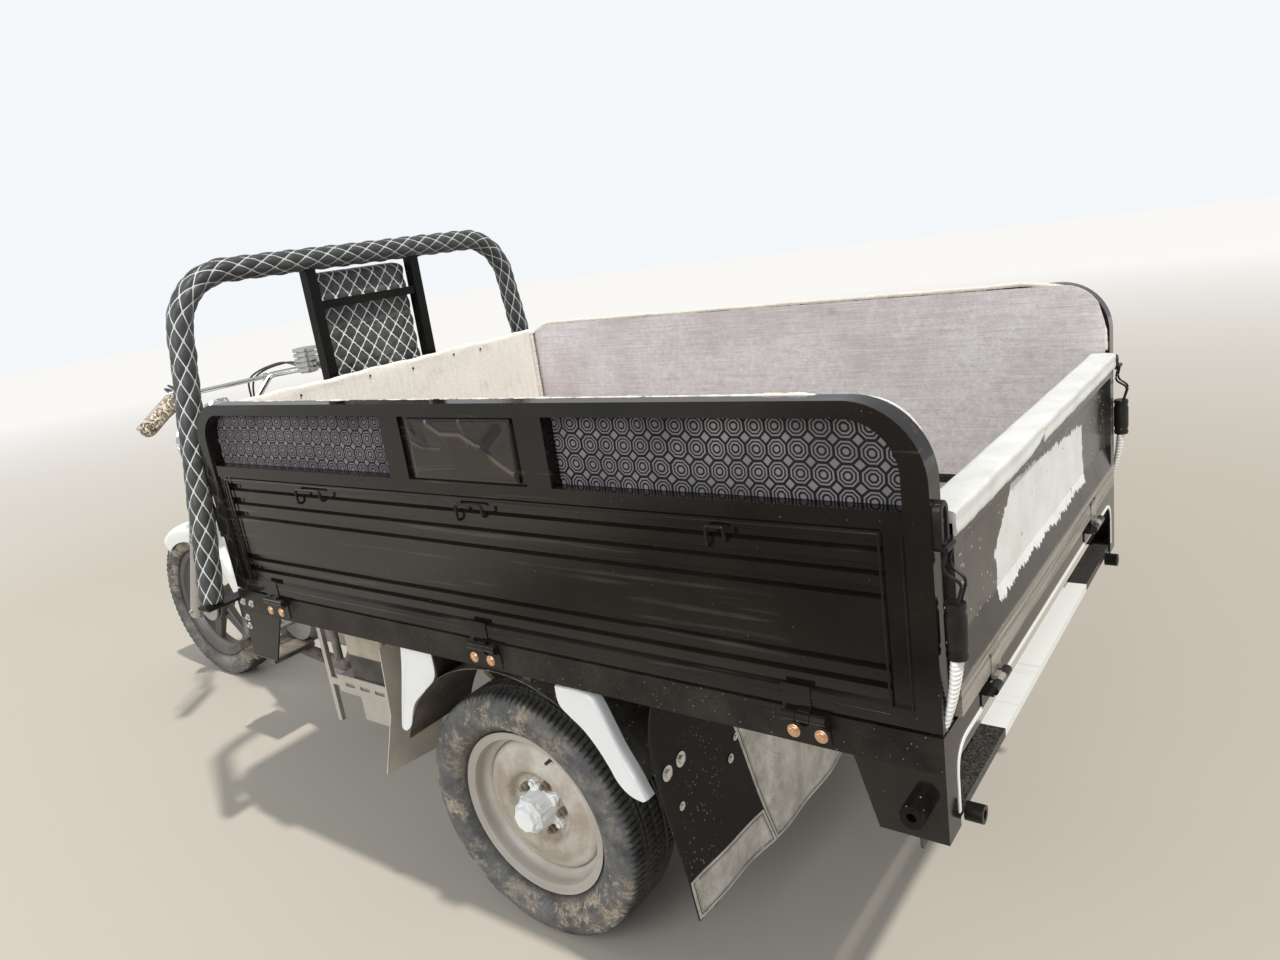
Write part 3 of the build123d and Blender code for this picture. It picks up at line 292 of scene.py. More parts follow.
# %% Scratch group
scratch, given, result = new_group(
    "fine_scratches", {"Stretch": ("Vector", (3.0, 60.0, 90.0)), "Amount": ("Float", 0.5)},
    {"Mask": "Float"})
where = object_place(scratch)
streak = noise(scratch, scaled(scratch, where, given["Stretch"]), 1.0, 3.0, 0.5)
streak = mapped(scratch, streak, 0.60, 0.68)
patch = mapped(scratch, noise(scratch, where, 3.0), 0.45, 0.65)
scratch.links.new(times(scratch, streak, patch, given["Amount"]), result["Mask"])

# %% Rust group
rust, given, result = new_group(
    "rust_stains", {"Clean": ("Color", rgb(0.5, 0.5, 0.5)), "Amount": ("Float", 0.5),
                    "Scale": ("Float", 14.0)},
    {"Color": "Color", "Mask": "Float", "Height": "Float"},
)
where = object_place(rust)
spread = noise(rust, where, given["Scale"], 10.0, 0.65)
threshold = calc(rust, "SUBTRACT", 0.78, calc(rust, "MULTIPLY", given["Amount"], 0.35))
mask = mapped(rust, calc(rust, "SUBTRACT", spread, threshold), 0.0, 0.09)
tone = blend(rust, noise(rust, where, 70.0, 5.0), rgb(0.10, 0.045, 0.02), rgb(0.30, 0.14, 0.06))
rust.links.new(mask, result["Mask"])
rust.links.new(noise(rust, where, 320.0, 3.0), result["Height"])
rust.links.new(blend(rust, mask, given["Clean"], tone), result["Color"])

# %% Thread group
threads, given, result = new_group(
    "crossed_threads", {"Vector": ("Vector", None), "Pitch": ("Float", 0.002)}, {"Height": "Float"})
per_metre = calc(threads, "DIVIDE", 2 * math.pi, given["Pitch"])
cells = add(threads, "ShaderNodeVectorMath", {0: given["Vector"], 3: per_metre},
            operation="SCALE").outputs[0]
warp, weft = (calc(threads, "SINE", part) for part in split(threads, cells)[:2])
threads.links.new(mapped(threads, calc(threads, "MULTIPLY", warp, weft), -1.0, 1.0), result["Height"])

# %% Quilt thread group
quilt, given, result = new_group(
    "quilt_thread", {"Vector": ("Vector", None), "Width": ("Float", 0.05)},
    {"Mask": "Float", "Knot": "Float"})
cell = split(quilt, given["Vector"])


def thread_line(tree, value, width):
    """1 where value is within width of a whole number, fading over a third of it."""
    off = calc(tree, "PINGPONG", value, 0.5)
    return mapped(tree, off, calc(tree, "MULTIPLY", width, 0.65), width, 1.0, 0.0)


rising = thread_line(quilt, calc(quilt, "ADD", cell[0], cell[1]), given["Width"])
falling = thread_line(quilt, calc(quilt, "SUBTRACT", cell[0], cell[1]), given["Width"])
quilt.links.new(calc(quilt, "MAXIMUM", rising, falling), result["Mask"])
quilt.links.new(calc(quilt, "MULTIPLY", rising, falling), result["Knot"])
print("shader groups:", len(bpy.data.node_groups))

# %% [markdown]
# ## Finishes
# A finish is one material with a Principled shader. Numbers that are the same all over stay on the
# shader's own sockets; only what changes over the surface is linked.

# %% Finish maker


def finish(name, colour=None, rough=0.5, metal=0.0, coat=0.0, **more):
    """A material with its Principled shader; returns the material, its tree and the shader's inputs."""
    made = bpy.data.materials.new(name)
    made.use_nodes = True
    inputs = made.node_tree.nodes["Principled BSDF"].inputs
    if colour is not None:
        inputs["Base Color"].default_value = colour
        made.diffuse_color = colour
    inputs["Roughness"].default_value = rough
    inputs["Metallic"].default_value = metal
    inputs["Coat Weight"].default_value = coat
    for label, value in more.items():
        inputs[label.replace("_", " ")].default_value = value
    return made, made.node_tree, inputs


def use(tree, group, **values):
    """Place a shared group in a material with its own values."""
    return add(tree, "ShaderNodeGroup", values, node_tree=group).outputs


def relief(tree, inputs, height, distance):
    """Bump from a height that changes over the surface."""
    made = add(tree, "ShaderNodeBump", {"Height": height, "Distance": distance, "Strength": 1.0})
    tree.links.new(made.outputs[0], inputs["Normal"])


def stripes(tree, value, bands, soft):
    """1 where the value lies in one of the bands, with ends that fade over twice the soft width."""
    total = 0.0
    for low, high in bands:
        inside = times(tree, mapped(tree, value, low - soft, low + soft),
                       mapped(tree, value, high - soft, high + soft, 1.0, 0.0))
        total = calc(tree, "MAXIMUM", total, inside)
    return total


def reworked(material):
    """The tree, shader inputs and present colour of a finish that something more is laid over."""
    inputs = material.node_tree.nodes["Principled BSDF"].inputs
    return material.node_tree, inputs, inputs["Base Color"].links[0].from_socket


def dusty(name, clean, amount, rough=0.4, metal=0.0, coat=0.0, scale=6.0, dust_tone=rgb(0.36, 0.31, 0.25),
          speck=0.0, speck_scale=90.0, scratches=0.0, grain=0.0, rusty=0.0, low=0.3, high=1.2,
          specular=0.5):
    """Paint, plastic or metal under street dust: the dust mask dulls it, specks and scratches lighten it."""
    made, tree, inputs = finish(name, clean, rough, metal, coat, Specular_IOR_Level=specular)
    colour = clean
    dull = None
    if rusty:
        stains = use(tree, rust, Clean=clean, Amount=rusty)
        colour = stains["Color"]
        dull = stains["Mask"]
    layer = use(tree, dust, Clean=colour, Dust=dust_tone, Amount=amount, Scale=scale, Low=low, High=high)
    colour = layer["Color"]
    dull = layer["Mask"] if dull is None else calc(tree, "MAXIMUM", dull, layer["Mask"])
    if speck:
        spots = use(tree, specks, Scale=speck_scale, Share=speck)["Mask"]
        colour = blend(tree, spots, colour, dust_tone)
        dull = calc(tree, "MAXIMUM", dull, spots)
    if scratches:
        lines = use(tree, scratch, Amount=scratches)["Mask"]
        colour = blend(tree, lines, colour, rgb(0.45, 0.43, 0.40))
    tree.links.new(colour, inputs["Base Color"])
    tree.links.new(mapped(tree, dull, 0.0, 0.8, rough, 0.85), inputs["Roughness"])
    if grain:
        relief(tree, inputs, noise(tree, object_place(tree), 420.0, 3.0), grain)
    return made


# %% Paints, metals and plastics
gloss_black = dusty("gloss_black", rgb(0.006, 0.005, 0.0045), 0.10, 0.08, speck=0.10, scratches=0.06,
                    dust_tone=rgb(0.20, 0.165, 0.125), grain=0.00005, specular=0.34)
panel_black = dusty("panel_black", rgb(0.006, 0.0048, 0.004), 0.10, 0.09, speck=0.10, scale=3.0,
                    dust_tone=rgb(0.17, 0.145, 0.11), scratches=0.06, grain=0.00006)
rail_black = dusty("rail_black", rgb(0.007, 0.006, 0.0055), 0.22, 0.30, speck=0.22, speck_scale=150.0,
                   scale=11.0, dust_tone=rgb(0.17, 0.145, 0.115), grain=0.00035, specular=0.22)
tail_black = dusty("tail_black", rgb(0.008, 0.007, 0.006), 0.62, 0.12, speck=0.25, scratches=0.2, scale=7.0,
                   dust_tone=rgb(0.38, 0.37, 0.35), grain=0.00006, low=0.75, high=0.95)
frame_paint = dusty("frame_paint", rgb(0.020, 0.019, 0.018), 0.75, 0.45, scale=9.0, speck=0.3, grain=0.0002)
white_paint = dusty("white_paint", rgb(0.80, 0.81, 0.79), 0.30, 0.35, coat=0.2, scratches=0.5, scale=8.0,
                    dust_tone=rgb(0.42, 0.38, 0.32))
bumper_white = dusty("bumper_white", rgb(0.80, 0.82, 0.80), 0.10, 0.38, scratches=0.4, scale=12.0,
                     dust_tone=rgb(0.45, 0.42, 0.36))
white_plastic = dusty("white_plastic", rgb(0.72, 0.74, 0.74), 0.16, 0.28, coat=0.3, scale=9.0,
                      dust_tone=rgb(0.45, 0.42, 0.36))
black_plastic = dusty("black_plastic", rgb(0.018, 0.018, 0.019), 0.4, 0.42, grain=0.0003)
raw_steel = dusty("raw_steel", rgb(0.20, 0.18, 0.16), 0.8, 0.5, metal=0.5, rusty=0.8, grain=0.0003)
spring_steel = dusty("spring_steel", rgb(0.05, 0.045, 0.04), 0.8, 0.55, metal=0.3, rusty=0.9, grain=0.0003)
zinc_steel = dusty("zinc_steel", rgb(0.62, 0.61, 0.58), 0.55, 0.34, metal=0.85, rusty=0.25)
engine_alloy = dusty("engine_alloy", rgb(0.46, 0.46, 0.45), 0.65, 0.42, metal=0.8, grain=0.0004)
exhaust_steel = dusty("exhaust_steel", rgb(0.30, 0.26, 0.22), 0.6, 0.5, metal=0.7, rusty=1.0, grain=0.0003)
# Painted shade: the front wheel's light grey casting is darkened to the shade it stands in.
cast_alloy = dusty("cast_alloy", rgb(0.11, 0.115, 0.115), 0.60, 0.38, metal=0.6,
                   dust_tone=rgb(0.30, 0.25, 0.19), low=0.0, high=0.7)
fork_alloy = dusty("fork_alloy", rgb(0.55, 0.55, 0.55), 0.5, 0.3, metal=0.85)
chrome = dusty("chrome", rgb(0.80, 0.80, 0.82), 0.2, 0.09, metal=1.0)
floor_steel = dusty("floor_steel", rgb(0.16, 0.15, 0.14), 0.9, 0.5, rusty=0.7, scratches=0.8, low=0.5,
                    high=0.9)
rubber = dusty("rubber", rgb(0.018, 0.018, 0.018), 0.45, 0.55, grain=0.0004)
flap_rubber = dusty("flap_rubber", rgb(0.005, 0.0045, 0.004), 0.04, 0.60, speck=0.26, speck_scale=110.0,
                    grain=0.0003, dust_tone=rgb(0.24, 0.22, 0.20), low=0.2, high=0.6, specular=0.25)
old_rubber = dusty("old_rubber", rgb(0.46, 0.42, 0.36), 0.95, 0.7, scale=9.0, grain=0.0006,
                   dust_tone=rgb(0.66, 0.60, 0.50))
latch_steel = dusty("latch_steel", rgb(0.006, 0.006, 0.006), 0.10, 0.35, speck=0.2, specular=0.3)
post_black = dusty("post_black", rgb(0.004, 0.004, 0.004), 0.05, 0.30, speck=0.15, specular=0.15)
trim_white = dusty("trim_white", rgb(0.88, 0.90, 0.87), 0.05, 0.35)
hub_white = dusty("hub_white", rgb(0.80, 0.82, 0.82), 0.25, 0.35, scale=26.0, rusty=0.12, low=0.0, high=0.9)
bolt_gold = dusty("bolt_gold", rgb(0.74, 0.46, 0.29), 0.25, 0.3, metal=0.9, rusty=0.2)
bolt_zinc = dusty("bolt_zinc", rgb(0.70, 0.69, 0.66), 0.3, 0.3, metal=0.9, rusty=0.2)
print("finishes so far:", len(bpy.data.materials))

# %% [markdown]
# ## Dressing the CAD nodes
# Most rigid parts already have the right shape, so they only change finish.

# %% Dress the frame's nodes
def wear(node, material):
    """Give a CAD node one finish."""
    nodes[node].data.materials.clear()
    nodes[node].data.materials.append(material)


dress = (
    (frame_paint, "chassis_frame footboards wheel_arches"),
    (engine_alloy, "engine"),
    (exhaust_steel, "exhaust"),
    (raw_steel, "propshaft rear_axle foot_pedals"),
    (spring_steel, "leaf_springs"),
    (white_paint, "fuel_tank front_fender rear_wheel_left rear_wheel_right tailgate_cap headboard_lining "
                  "gate_lining_left gate_lining_right"),
    (gloss_black, "seat_base rear_skirt front_corner_legs headboard hinge_plates gate_frame_left "
                  "gate_frame_right"),
    (black_plastic, "battery_box guard_hoop backrest_pad rider_seat"),
    (zinc_steel, "battery_carrier"),
    (rail_black, "bed_frame"),
    (floor_steel, "bed_floor"),
    (post_black, "backrest_frame rubber_buffers"),
    (bumper_white, "rear_bumper"),
    (white_plastic, "fender_ends"),
    (flap_rubber, "rear_mud_flap"),
    (old_rubber, "front_mud_flaps"),
    (fork_alloy, "fork"),
    (chrome, "handlebar headlamp headlamp_lens"),
    (rubber, "hand_grips front_tyre rear_tyre_left rear_tyre_right"),
    (cast_alloy, "front_wheel"),
    (hub_white, "rear_hub_left rear_hub_right"),
    (panel_black, "gate_panel_left gate_panel_right"),
    (latch_steel, "gate_latches_left gate_latches_right"),
    (tail_black, "tailgate_frame tailgate_panel"),
)
dressed = [(node, material) for material, names in dress for node in names.split()]
for node, material in dressed:
    wear(node, material)
print("dressed", len(dressed), "of", len(nodes), "nodes")

# %% [markdown]
# ## Surfaces from numbers
# New pieces are grids of points. A grid is a function of two parameters worked out as one numpy array,
# and a small function turns any number of grids into one mesh. Edges sharper than a limit stay sharp.

# %% Grids to meshes
X, Y, Z = np.eye(3)


def shell(points, wrap_rows=False, wrap_columns=False, uv=None):
    """A grid ready for a piece: its points, the four corners of each cell and their values in the UV map.

    Points are numbered row by row, so the corner in row i and column j is number i times columns plus j,
    and a grid that wraps goes back to its first row or column. The UV map has one value per row and one
    per column.
    """
    points = np.asarray(points, float)
    rows, columns = points.shape[:2]
    i = np.arange(rows if wrap_rows else rows - 1)
    j = np.arange(columns if wrap_columns else columns - 1)
    i, j = np.meshgrid(i, j, indexing="ij")
    corner_i = np.stack([i, i + 1, i + 1, i], -1).reshape(-1, 4)
    corner_j = np.stack([j, j, j + 1, j + 1], -1).reshape(-1, 4)
    corner_uv = None
    if uv is not None:
        corner_uv = np.stack([np.asarray(uv[0])[corner_i], np.asarray(uv[1])[corner_j]], -1)
    return points.reshape(-1, 3), corner_i % rows * columns + corner_j % columns, corner_uv


def piece(name, shells, body, material, sharp=35.0):
    """One mesh object from shells, welded, turned outwards and riding on a body; sharp is in degrees."""
    starts = np.cumsum([0] + [len(points) for points, _, _ in shells])
    points = np.concatenate([s[0] for s in shells])
    faces = np.concatenate([s[1] + start for s, start in zip(shells, starts)])
    mesh = bpy.data.meshes.new(name)
    mesh.vertices.add(len(points))
    mesh.vertices.foreach_set("co", points.astype(np.float32).ravel())
    mesh.loops.add(faces.size)
    mesh.loops.foreach_set("vertex_index", faces.astype(np.int32).ravel())
    mesh.polygons.add(len(faces))
    mesh.polygons.foreach_set("loop_start", np.arange(0, faces.size, 4, dtype=np.int32))
    if shells[0][2] is not None:
        uv = mesh.uv_layers.new(name="UVMap")
        flat_uv = np.concatenate([s[2].reshape(-1, 2) for s in shells])
        uv.data.foreach_set("uv", flat_uv.astype(np.float32).ravel())
    mesh.update(calc_edges=True)
    work = bmesh.new()
    work.from_mesh(mesh)
    bmesh.ops.remove_doubles(work, verts=work.verts, dist=1e-6)
    bmesh.ops.dissolve_degenerate(work, dist=1e-7, edges=work.edges)
    bmesh.ops.recalc_face_normals(work, faces=work.faces)
    work.to_mesh(mesh)
    work.free()
    mesh.polygons.foreach_set("use_smooth", np.ones(len(mesh.polygons), bool))
    mesh.set_sharp_from_angle(angle=math.radians(sharp))
    mesh.materials.append(material)
    made = put(name, mesh)
    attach(made, body)
    return made


def full_turn(steps):
    """Angles of one turn, all a step apart, without the last that would repeat the first."""
    return np.linspace(0, 2 * math.pi, steps, endpoint=False)


def turned(profile, centre, steps):
    """A (radius, y) profile turned about the Y axis: x is radius times sine, z is radius times cosine."""
    radius, y = np.asarray(profile, float).T
    angle = full_turn(steps)[:, None]
    return np.stack([radius * np.sin(angle), y + 0 * angle, radius * np.cos(angle)],
                    -1) + np.asarray(centre)


def smooth_profile(points, steps):
    """Catmull-Rom curve through profile points: each stretch is a cubic of its four nearest points."""
    points = np.asarray(points, float)
    padded = np.vstack([2 * points[0] - points[1], points, 2 * points[-1] - points[-2]])
    t = np.linspace(0, len(points) - 1, steps)
    i = np.minimum(t.astype(int), len(points) - 2)
    f = (t - i)[:, None]
    a, b, c, d = (padded[i + k] for k in range(4))
    return 0.5 * (2 * b + (c - a) * f + (2 * a - 5 * b + 4 * c - d) * f**2 + (3 * b - a - 3 * c + d) * f**3)


def corners_of(points):
    """Each inner point of a path, with the directions in which the path comes to it and leaves it."""
    points = np.asarray(points, float)
    return zip(points[1:-1], unit(points[1:-1] - points[:-2]), unit(points[2:] - points[1:-1]))


def rounded_path(points, bend, steps=8):
    """Straight runs with rounded corners: each is a quadratic curve between points a bend away."""
    t = np.linspace(0, 1, steps)[:, None]
    out = [points[0]]
    for corner, coming, leaving in corners_of(points):
        enter, leave = corner - coming * bend, corner + leaving * bend
        out.extend((1 - t) ** 2 * enter + 2 * t * (1 - t) * corner + t**2 * leave)
    return np.array(out + [points[-1]])


def unit(vectors):
    """Vectors of length one in the same directions."""
    return vectors / np.linalg.norm(vectors, axis=-1, keepdims=True)


def resampled(path, step):
    """The same path with points about a step apart, and how far along it each of them is."""
    path = np.asarray(path, float)
    run = np.concatenate([[0], np.cumsum(np.linalg.norm(np.diff(path, axis=0), axis=1))])
    at = np.linspace(0, run[-1], max(int(run[-1] / step), 2) + 1)
    return np.stack([np.interp(at, run, path[:, k]) for k in range(3)], -1), at


def frames(path, reference):
    """Unit side and up along a path: side is tangent cross reference, up is side cross tangent."""
    tangent = unit(np.gradient(path, axis=0))
    side = unit(np.cross(tangent, reference))
    return side, np.cross(side, tangent)


def carried(profile, path, reference):
    """Grid of a closed (side, up) profile carried along a path: path + side * a + up * b."""
    side, up = frames(path, reference)
    return path[:, None] + side[:, None] * profile[..., :1] + up[:, None] * profile[..., 1:]


def circle(steps):
    """Points of a circle of radius one: the cosine and the sine of each angle of a turn."""
    return np.stack([np.cos(full_turn(steps)), np.sin(full_turn(steps))], -1)


def folded(points, y, steps, thickness, at_end=0.0):
    """Grid of a sheet folded over an edge along Y: at each y a smooth curve in x and z, and a second one
    a thickness inside it. The points are (x, z) pairs, and either value may change with y. Where at_end
    is 1 the second curve is a straight line from end to end, which closes the sheet's side.
    """
    curves = np.array([(x + 0 * y, z + 0 * y) for x, z in points]).transpose(2, 0, 1)
    outer = np.stack([smooth_profile(curve, steps) for curve in curves])
    slope = np.gradient(outer, axis=1)
    inner = outer + unit(np.stack([slope[..., 1], -slope[..., 0]], -1)) * thickness
    straight = outer[:, :1] + (outer[:, -1:] - outer[:, :1]) * np.linspace(0, 1, steps)[:, None]
    inner = inner * (1 - at_end) + straight * at_end
    ring = np.concatenate([outer, inner[:, ::-1]], 1)
    return np.stack([ring[..., 0], y[:, None] + 0 * ring[..., 0], ring[..., 1]], -1)


def closed_ends(grid):
    """A grid with both ends drawn in to a point, so that a closed profile makes a closed solid."""
    first = np.repeat(grid[:1].mean(1, keepdims=True), grid.shape[1], 1)
    last = np.repeat(grid[-1:].mean(1, keepdims=True), grid.shape[1], 1)
    return np.concatenate([first, grid, last])


def closed_tube(grid, uv=None):
    """Shell of a grid whose rows are closed rings, with both ends closed."""
    return shell(closed_ends(grid), False, True, uv)


def bar(path, radius, reference=(0.0137, 0.0173, 1.0), steps=16):
    """Closed round bar along a path; its radius is one number, or one for each point of the path."""
    radius = np.broadcast_to(np.asarray(radius, float), (len(path),))
    return closed_tube(carried(circle(steps) * radius[:, None, None], np.asarray(path, float), reference))


def plate(front, back, uv=None):
    """Closed thin plate between two grids of one size: both faces, and a rim from edge to edge."""
    rims = [np.concatenate([face[:, 0], face[-1, 1:], face[::-1, -1][1:], face[0, ::-1][1:]])
            for face in (front, back)]
    rim_uv = None if uv is None else (np.zeros(2), np.zeros(len(rims[0])))
    return [shell(front, uv=uv), shell(back, uv=uv), shell(np.stack(rims), uv=rim_uv)]


def lozenge(outline_points, levels, origin, across, along, out):
    """Closed plate: an outline (across, along) repeated at levels of (height, shrink towards its centre)."""
    outline_points = np.asarray(outline_points, float)
    centre = outline_points.mean(0)
    size = np.abs(outline_points - centre).max(0)
    rings = []
    for height, inset in levels:
        share = np.clip(1 - inset / size, 0, None)
        flat = centre + (outline_points - centre) * share
        base = np.asarray(origin) + height * np.asarray(out)
        rings.append(base + flat[:, :1] * across + flat[:, 1:] * along)
    return closed_tube(np.array(rings))


def ring_points(count, radius, start=0.0):
    """Points of a regular polygon, the first of them at the angle start."""
    a = start + full_turn(count)
    return np.stack([np.cos(a), np.sin(a)], -1) * radius


def mirrored(shells):
    """The same shells on the vehicle's other side: y changes sign and each face is turned round."""
    return [(points * (1, -1, 1), faces[:, ::-1], None if uv is None else uv[:, ::-1])
            for points, faces, uv in shells]


def on_side(shells, sign):
    """Shells that are drawn on the left: as they are for +1, mirrored for -1."""
    return shells if sign > 0 else mirrored(shells)


print("mesh tools ready")

# %% [markdown]
# ## Tyres
# A road tyre is one closed ring. Its cross-section is turned about the axle, and the tread is cut by
# lowering the radius where a groove runs: three grooves go round, and many short slots cross the
# shoulders. Dust sits on the walls, and the tread is rubbed darker.

# %% Tyre finish
tyre_rubber, tree, inputs = finish("tyre_rubber", None, 0.75)
where = object_place(tree)
front_half, rear_half = 0.0545, 0.0865
across = calc(tree, "ABSOLUTE", split(tree, where)[1])
is_rear = calc(tree, "GREATER_THAN", across, 0.2)
off_middle = calc(tree, "ABSOLUTE", calc(tree, "SUBTRACT", across, times(tree, is_rear, wheel_y)))
half_width = mapped(tree, is_rear, 0.0, 1.0, front_half, rear_half)
on_wall = mapped(tree, calc(tree, "DIVIDE", off_middle, half_width), 0.70, 0.86)
smear = mapped(tree, noise(tree, where, 34.0, 8.0, 0.7), 0.38, 0.66)
wall_tone = blend(tree, smear, rgb(0.040, 0.043, 0.046), rgb(0.115, 0.120, 0.120))
mud = mapped(tree, noise(tree, where, 15.0, 9.0, 0.72), 0.49, 0.56)
mud_area = mapped(tree, noise(tree, where, 4.5, 3.0), 0.40, 0.54, 0.15, 1.0)
grain = mapped(tree, noise(tree, where, 120.0, 5.0, 0.7), 0.40, 0.60, 0.35, 1.0)
mud = times(tree, mud, mud_area, grain)
wall_tone = blend(tree, mud, wall_tone, rgb(0.42, 0.35, 0.265))
tread_tone = blend(tree, smear, rgb(0.020, 0.020, 0.018), rgb(0.055, 0.052, 0.045))
tone = blend(tree, on_wall, tread_tone, wall_tone)
layer = use(tree, dust, Clean=tone, Dust=rgb(0.27, 0.255, 0.225), Scale=13.0, Low=0.0, High=0.75,
            Amount=mapped(tree, on_wall, 0.0, 1.0, 0.15, 0.55))
tree.links.new(layer["Color"], inputs["Base Color"])
relief(tree, inputs, calc(tree, "ADD", noise(tree, where, 380.0, 4.0), times(tree, mud, 2.0)), 0.0005)

# %% Tyre shape


def tyre_grid(centre, outer, half, flange, bead_half, slots, tread_share, slot_depth):
    """Profile turned about the axle; the radius falls by the groove's depth where a groove or slot runs.

    The wall bulges between the rim's flange and the outer radius. Three grooves go round, each 9 mm wide.
    Slots cross them at a slant, deep at the shoulders and shallower in the middle. Two fine rings and a
    comb stand out from the wall.
    """
    shoulder = half * tread_share
    wall = [(flange + 0.001, bead_half), (flange + 0.010, bead_half + 0.010), (flange + 0.022, half * 0.93),
            ((flange + outer) / 2, half), (outer - 0.030, half * 0.965), (outer - 0.014, half * 0.90)]
    wall = smooth_profile(wall, 22)
    crown_y = np.linspace(shoulder + 0.008, -shoulder - 0.008, 44)
    crown = np.stack([outer - 0.004 * (crown_y / shoulder) ** 4, crown_y], -1)
    inner = np.array([(flange + 0.001, -bead_half), (flange - 0.012, -bead_half * 0.7),
                      (flange - 0.012, bead_half * 0.7)])
    profile = np.vstack([wall, crown, wall[::-1] * (1, -1), inner])
    steps_per_slot = 6
    steps = slots * steps_per_slot
    grid = turned(profile, (0, 0, 0), steps)
    radius, y = profile[:, 0], profile[:, 1]
    turn_share = np.arange(steps)[:, None] / steps_per_slot
    crown_zone = radius > outer - 0.012
    round_groove = np.zeros_like(radius)
    for groove in (-0.46, 0.0, 0.46):
        off = np.abs(y / shoulder - groove) * shoulder
        round_groove = np.maximum(round_groove, np.clip((0.0045 - off) / 0.0015, 0, 1))
    skew = turn_share + y / shoulder * 0.55
    slot_wave = np.abs((skew % 1.0) - 0.5)
    slot = np.clip((0.20 - slot_wave) / 0.06, 0, 1)
    reach = np.clip((np.abs(y) - shoulder * 0.56) / 0.004, 0, 1)
    middle_slot = slot * (np.abs(np.abs(y / shoulder) - 0.23) < 0.17) * 0.6
    depth = np.maximum(round_groove * 0.007,
                       np.maximum(slot * reach, middle_slot) * slot_depth) * crown_zone
    share = (radius - depth) / radius
    grid[..., 0] *= share
    grid[..., 2] *= share
    bead_ring = 0.0012 * np.exp(-((radius - flange - 0.030) / 0.0025) ** 2)
    bead_ring += 0.0010 * np.exp(-((radius - outer + 0.036) / 0.002) ** 2)
    comb = 0.0009 * ((turn_share * 2 % 1.0) > 0.5) * np.exp(-((radius - outer + 0.022) / 0.004) ** 2)
    grid[..., 1] += np.sign(y) * (bead_ring + comb) * (np.abs(y) > half * 0.8)
    return grid + np.asarray(centre)


rear_size = dict(outer=rear_radius, half=rear_half, flange=0.1953, bead_half=0.0570, slots=120,
                 tread_share=0.74, slot_depth=0.005)
front_size = dict(outer=front_radius, half=front_half, flange=0.2207, bead_half=0.0350, slots=72,
                  tread_share=0.78, slot_depth=0.007)
front_centre = np.array((front_axle[0], 0, front_radius))
tyres = [(side, "rear_tyre_" + side, (AX, sign * wheel_y, rear_radius), rear_size) for side, sign in sides]
tyres.append(("front", "front_tyre", front_centre, front_size))
for name, node, centre, sizes in tyres:
    ring = shell(tyre_grid(centre, **sizes), True, True)
    made = piece("tread_tyre_" + name, [ring], "wheel_" + name, tyre_rubber, 50.0)
    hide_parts(node)
    print("tyre", name, len(made.data.polygons), "faces")

# %% [markdown]
# ## Rear wheels
# The rim and its dished disc are pressed steel with a cream finish under dust. The profile runs from
# one flange through the drop centre to the other, and the disc is a second bowl inside it. Rust starts
# where the disc meets the rim and round the hub.

# %% Wheel finish
cream_steel, tree, inputs = finish("cream_steel", None, 0.42)
where = object_place(tree)
centred = add(tree, "ShaderNodeMapping", {"Vector": where, "Location": (-AX, 0.0, -rear_radius)}).outputs[0]
axes = split(tree, centred)
from_axle = calc(tree, "SQRT", calc(tree, "ADD", times(tree, axes[0], axes[0]),
                                    times(tree, axes[2], axes[2])))
near_hub = mapped(tree, from_axle, 0.075, 0.048)
near_seam = mapped(tree, calc(tree, "ABSOLUTE", calc(tree, "SUBTRACT", from_axle, 0.156)), 0.010, 0.0)
rusting = calc(tree, "ADD", times(tree, near_hub, 0.95), times(tree, near_seam, 0.35))
paint = blend(tree, mapped(tree, noise(tree, where, 7.0, 5.0), 0.35, 0.65), rgb(0.58, 0.55, 0.50),
              rgb(0.44, 0.40, 0.34))
ring_wear = add(tree, "ShaderNodeCombineXYZ", {0: times(tree, from_axle, 260.0), 1: axes[0], 2: axes[2]})
ring_wear = mapped(tree, noise(tree, ring_wear.outputs[0], 1.0, 5.0, 0.75), 0.52, 0.70, 0.0, 0.55)
paint = blend(tree, ring_wear, paint, rgb(0.24, 0.20, 0.16))
brown = mapped(tree, noise(tree, where, 15.0, 8.0, 0.68), 0.42, 0.60, 0.0, 0.80)
brown = times(tree, brown, mapped(tree, from_axle, 0.15, 0.06, 0.30, 1.0))
paint = blend(tree, brown, paint, rgb(0.22, 0.145, 0.09))
paint = blend(tree, mapped(tree, from_axle, 0.158, 0.172, 0.0, 0.50), paint, rgb(0.27, 0.27, 0.26))
stains = use(tree, rust, Clean=paint, Amount=calc(tree, "ADD", rusting, 0.16), Scale=24.0)
layer = use(tree, dust, Clean=stains["Color"], Dust=rgb(0.38, 0.33, 0.26), Amount=0.55, Scale=16.0, Low=0.0,
            High=0.6)
tree.links.new(layer["Color"], inputs["Base Color"])
dull = calc(tree, "MAXIMUM", stains["Mask"], layer["Mask"])
tree.links.new(mapped(tree, dull, 0.0, 0.7, 0.34, 0.85), inputs["Roughness"])
relief(tree, inputs, times(tree, stains["Height"], stains["Mask"]), 0.0006)

# %% Rear wheels, discs and hubs
valve_angle = 1.15


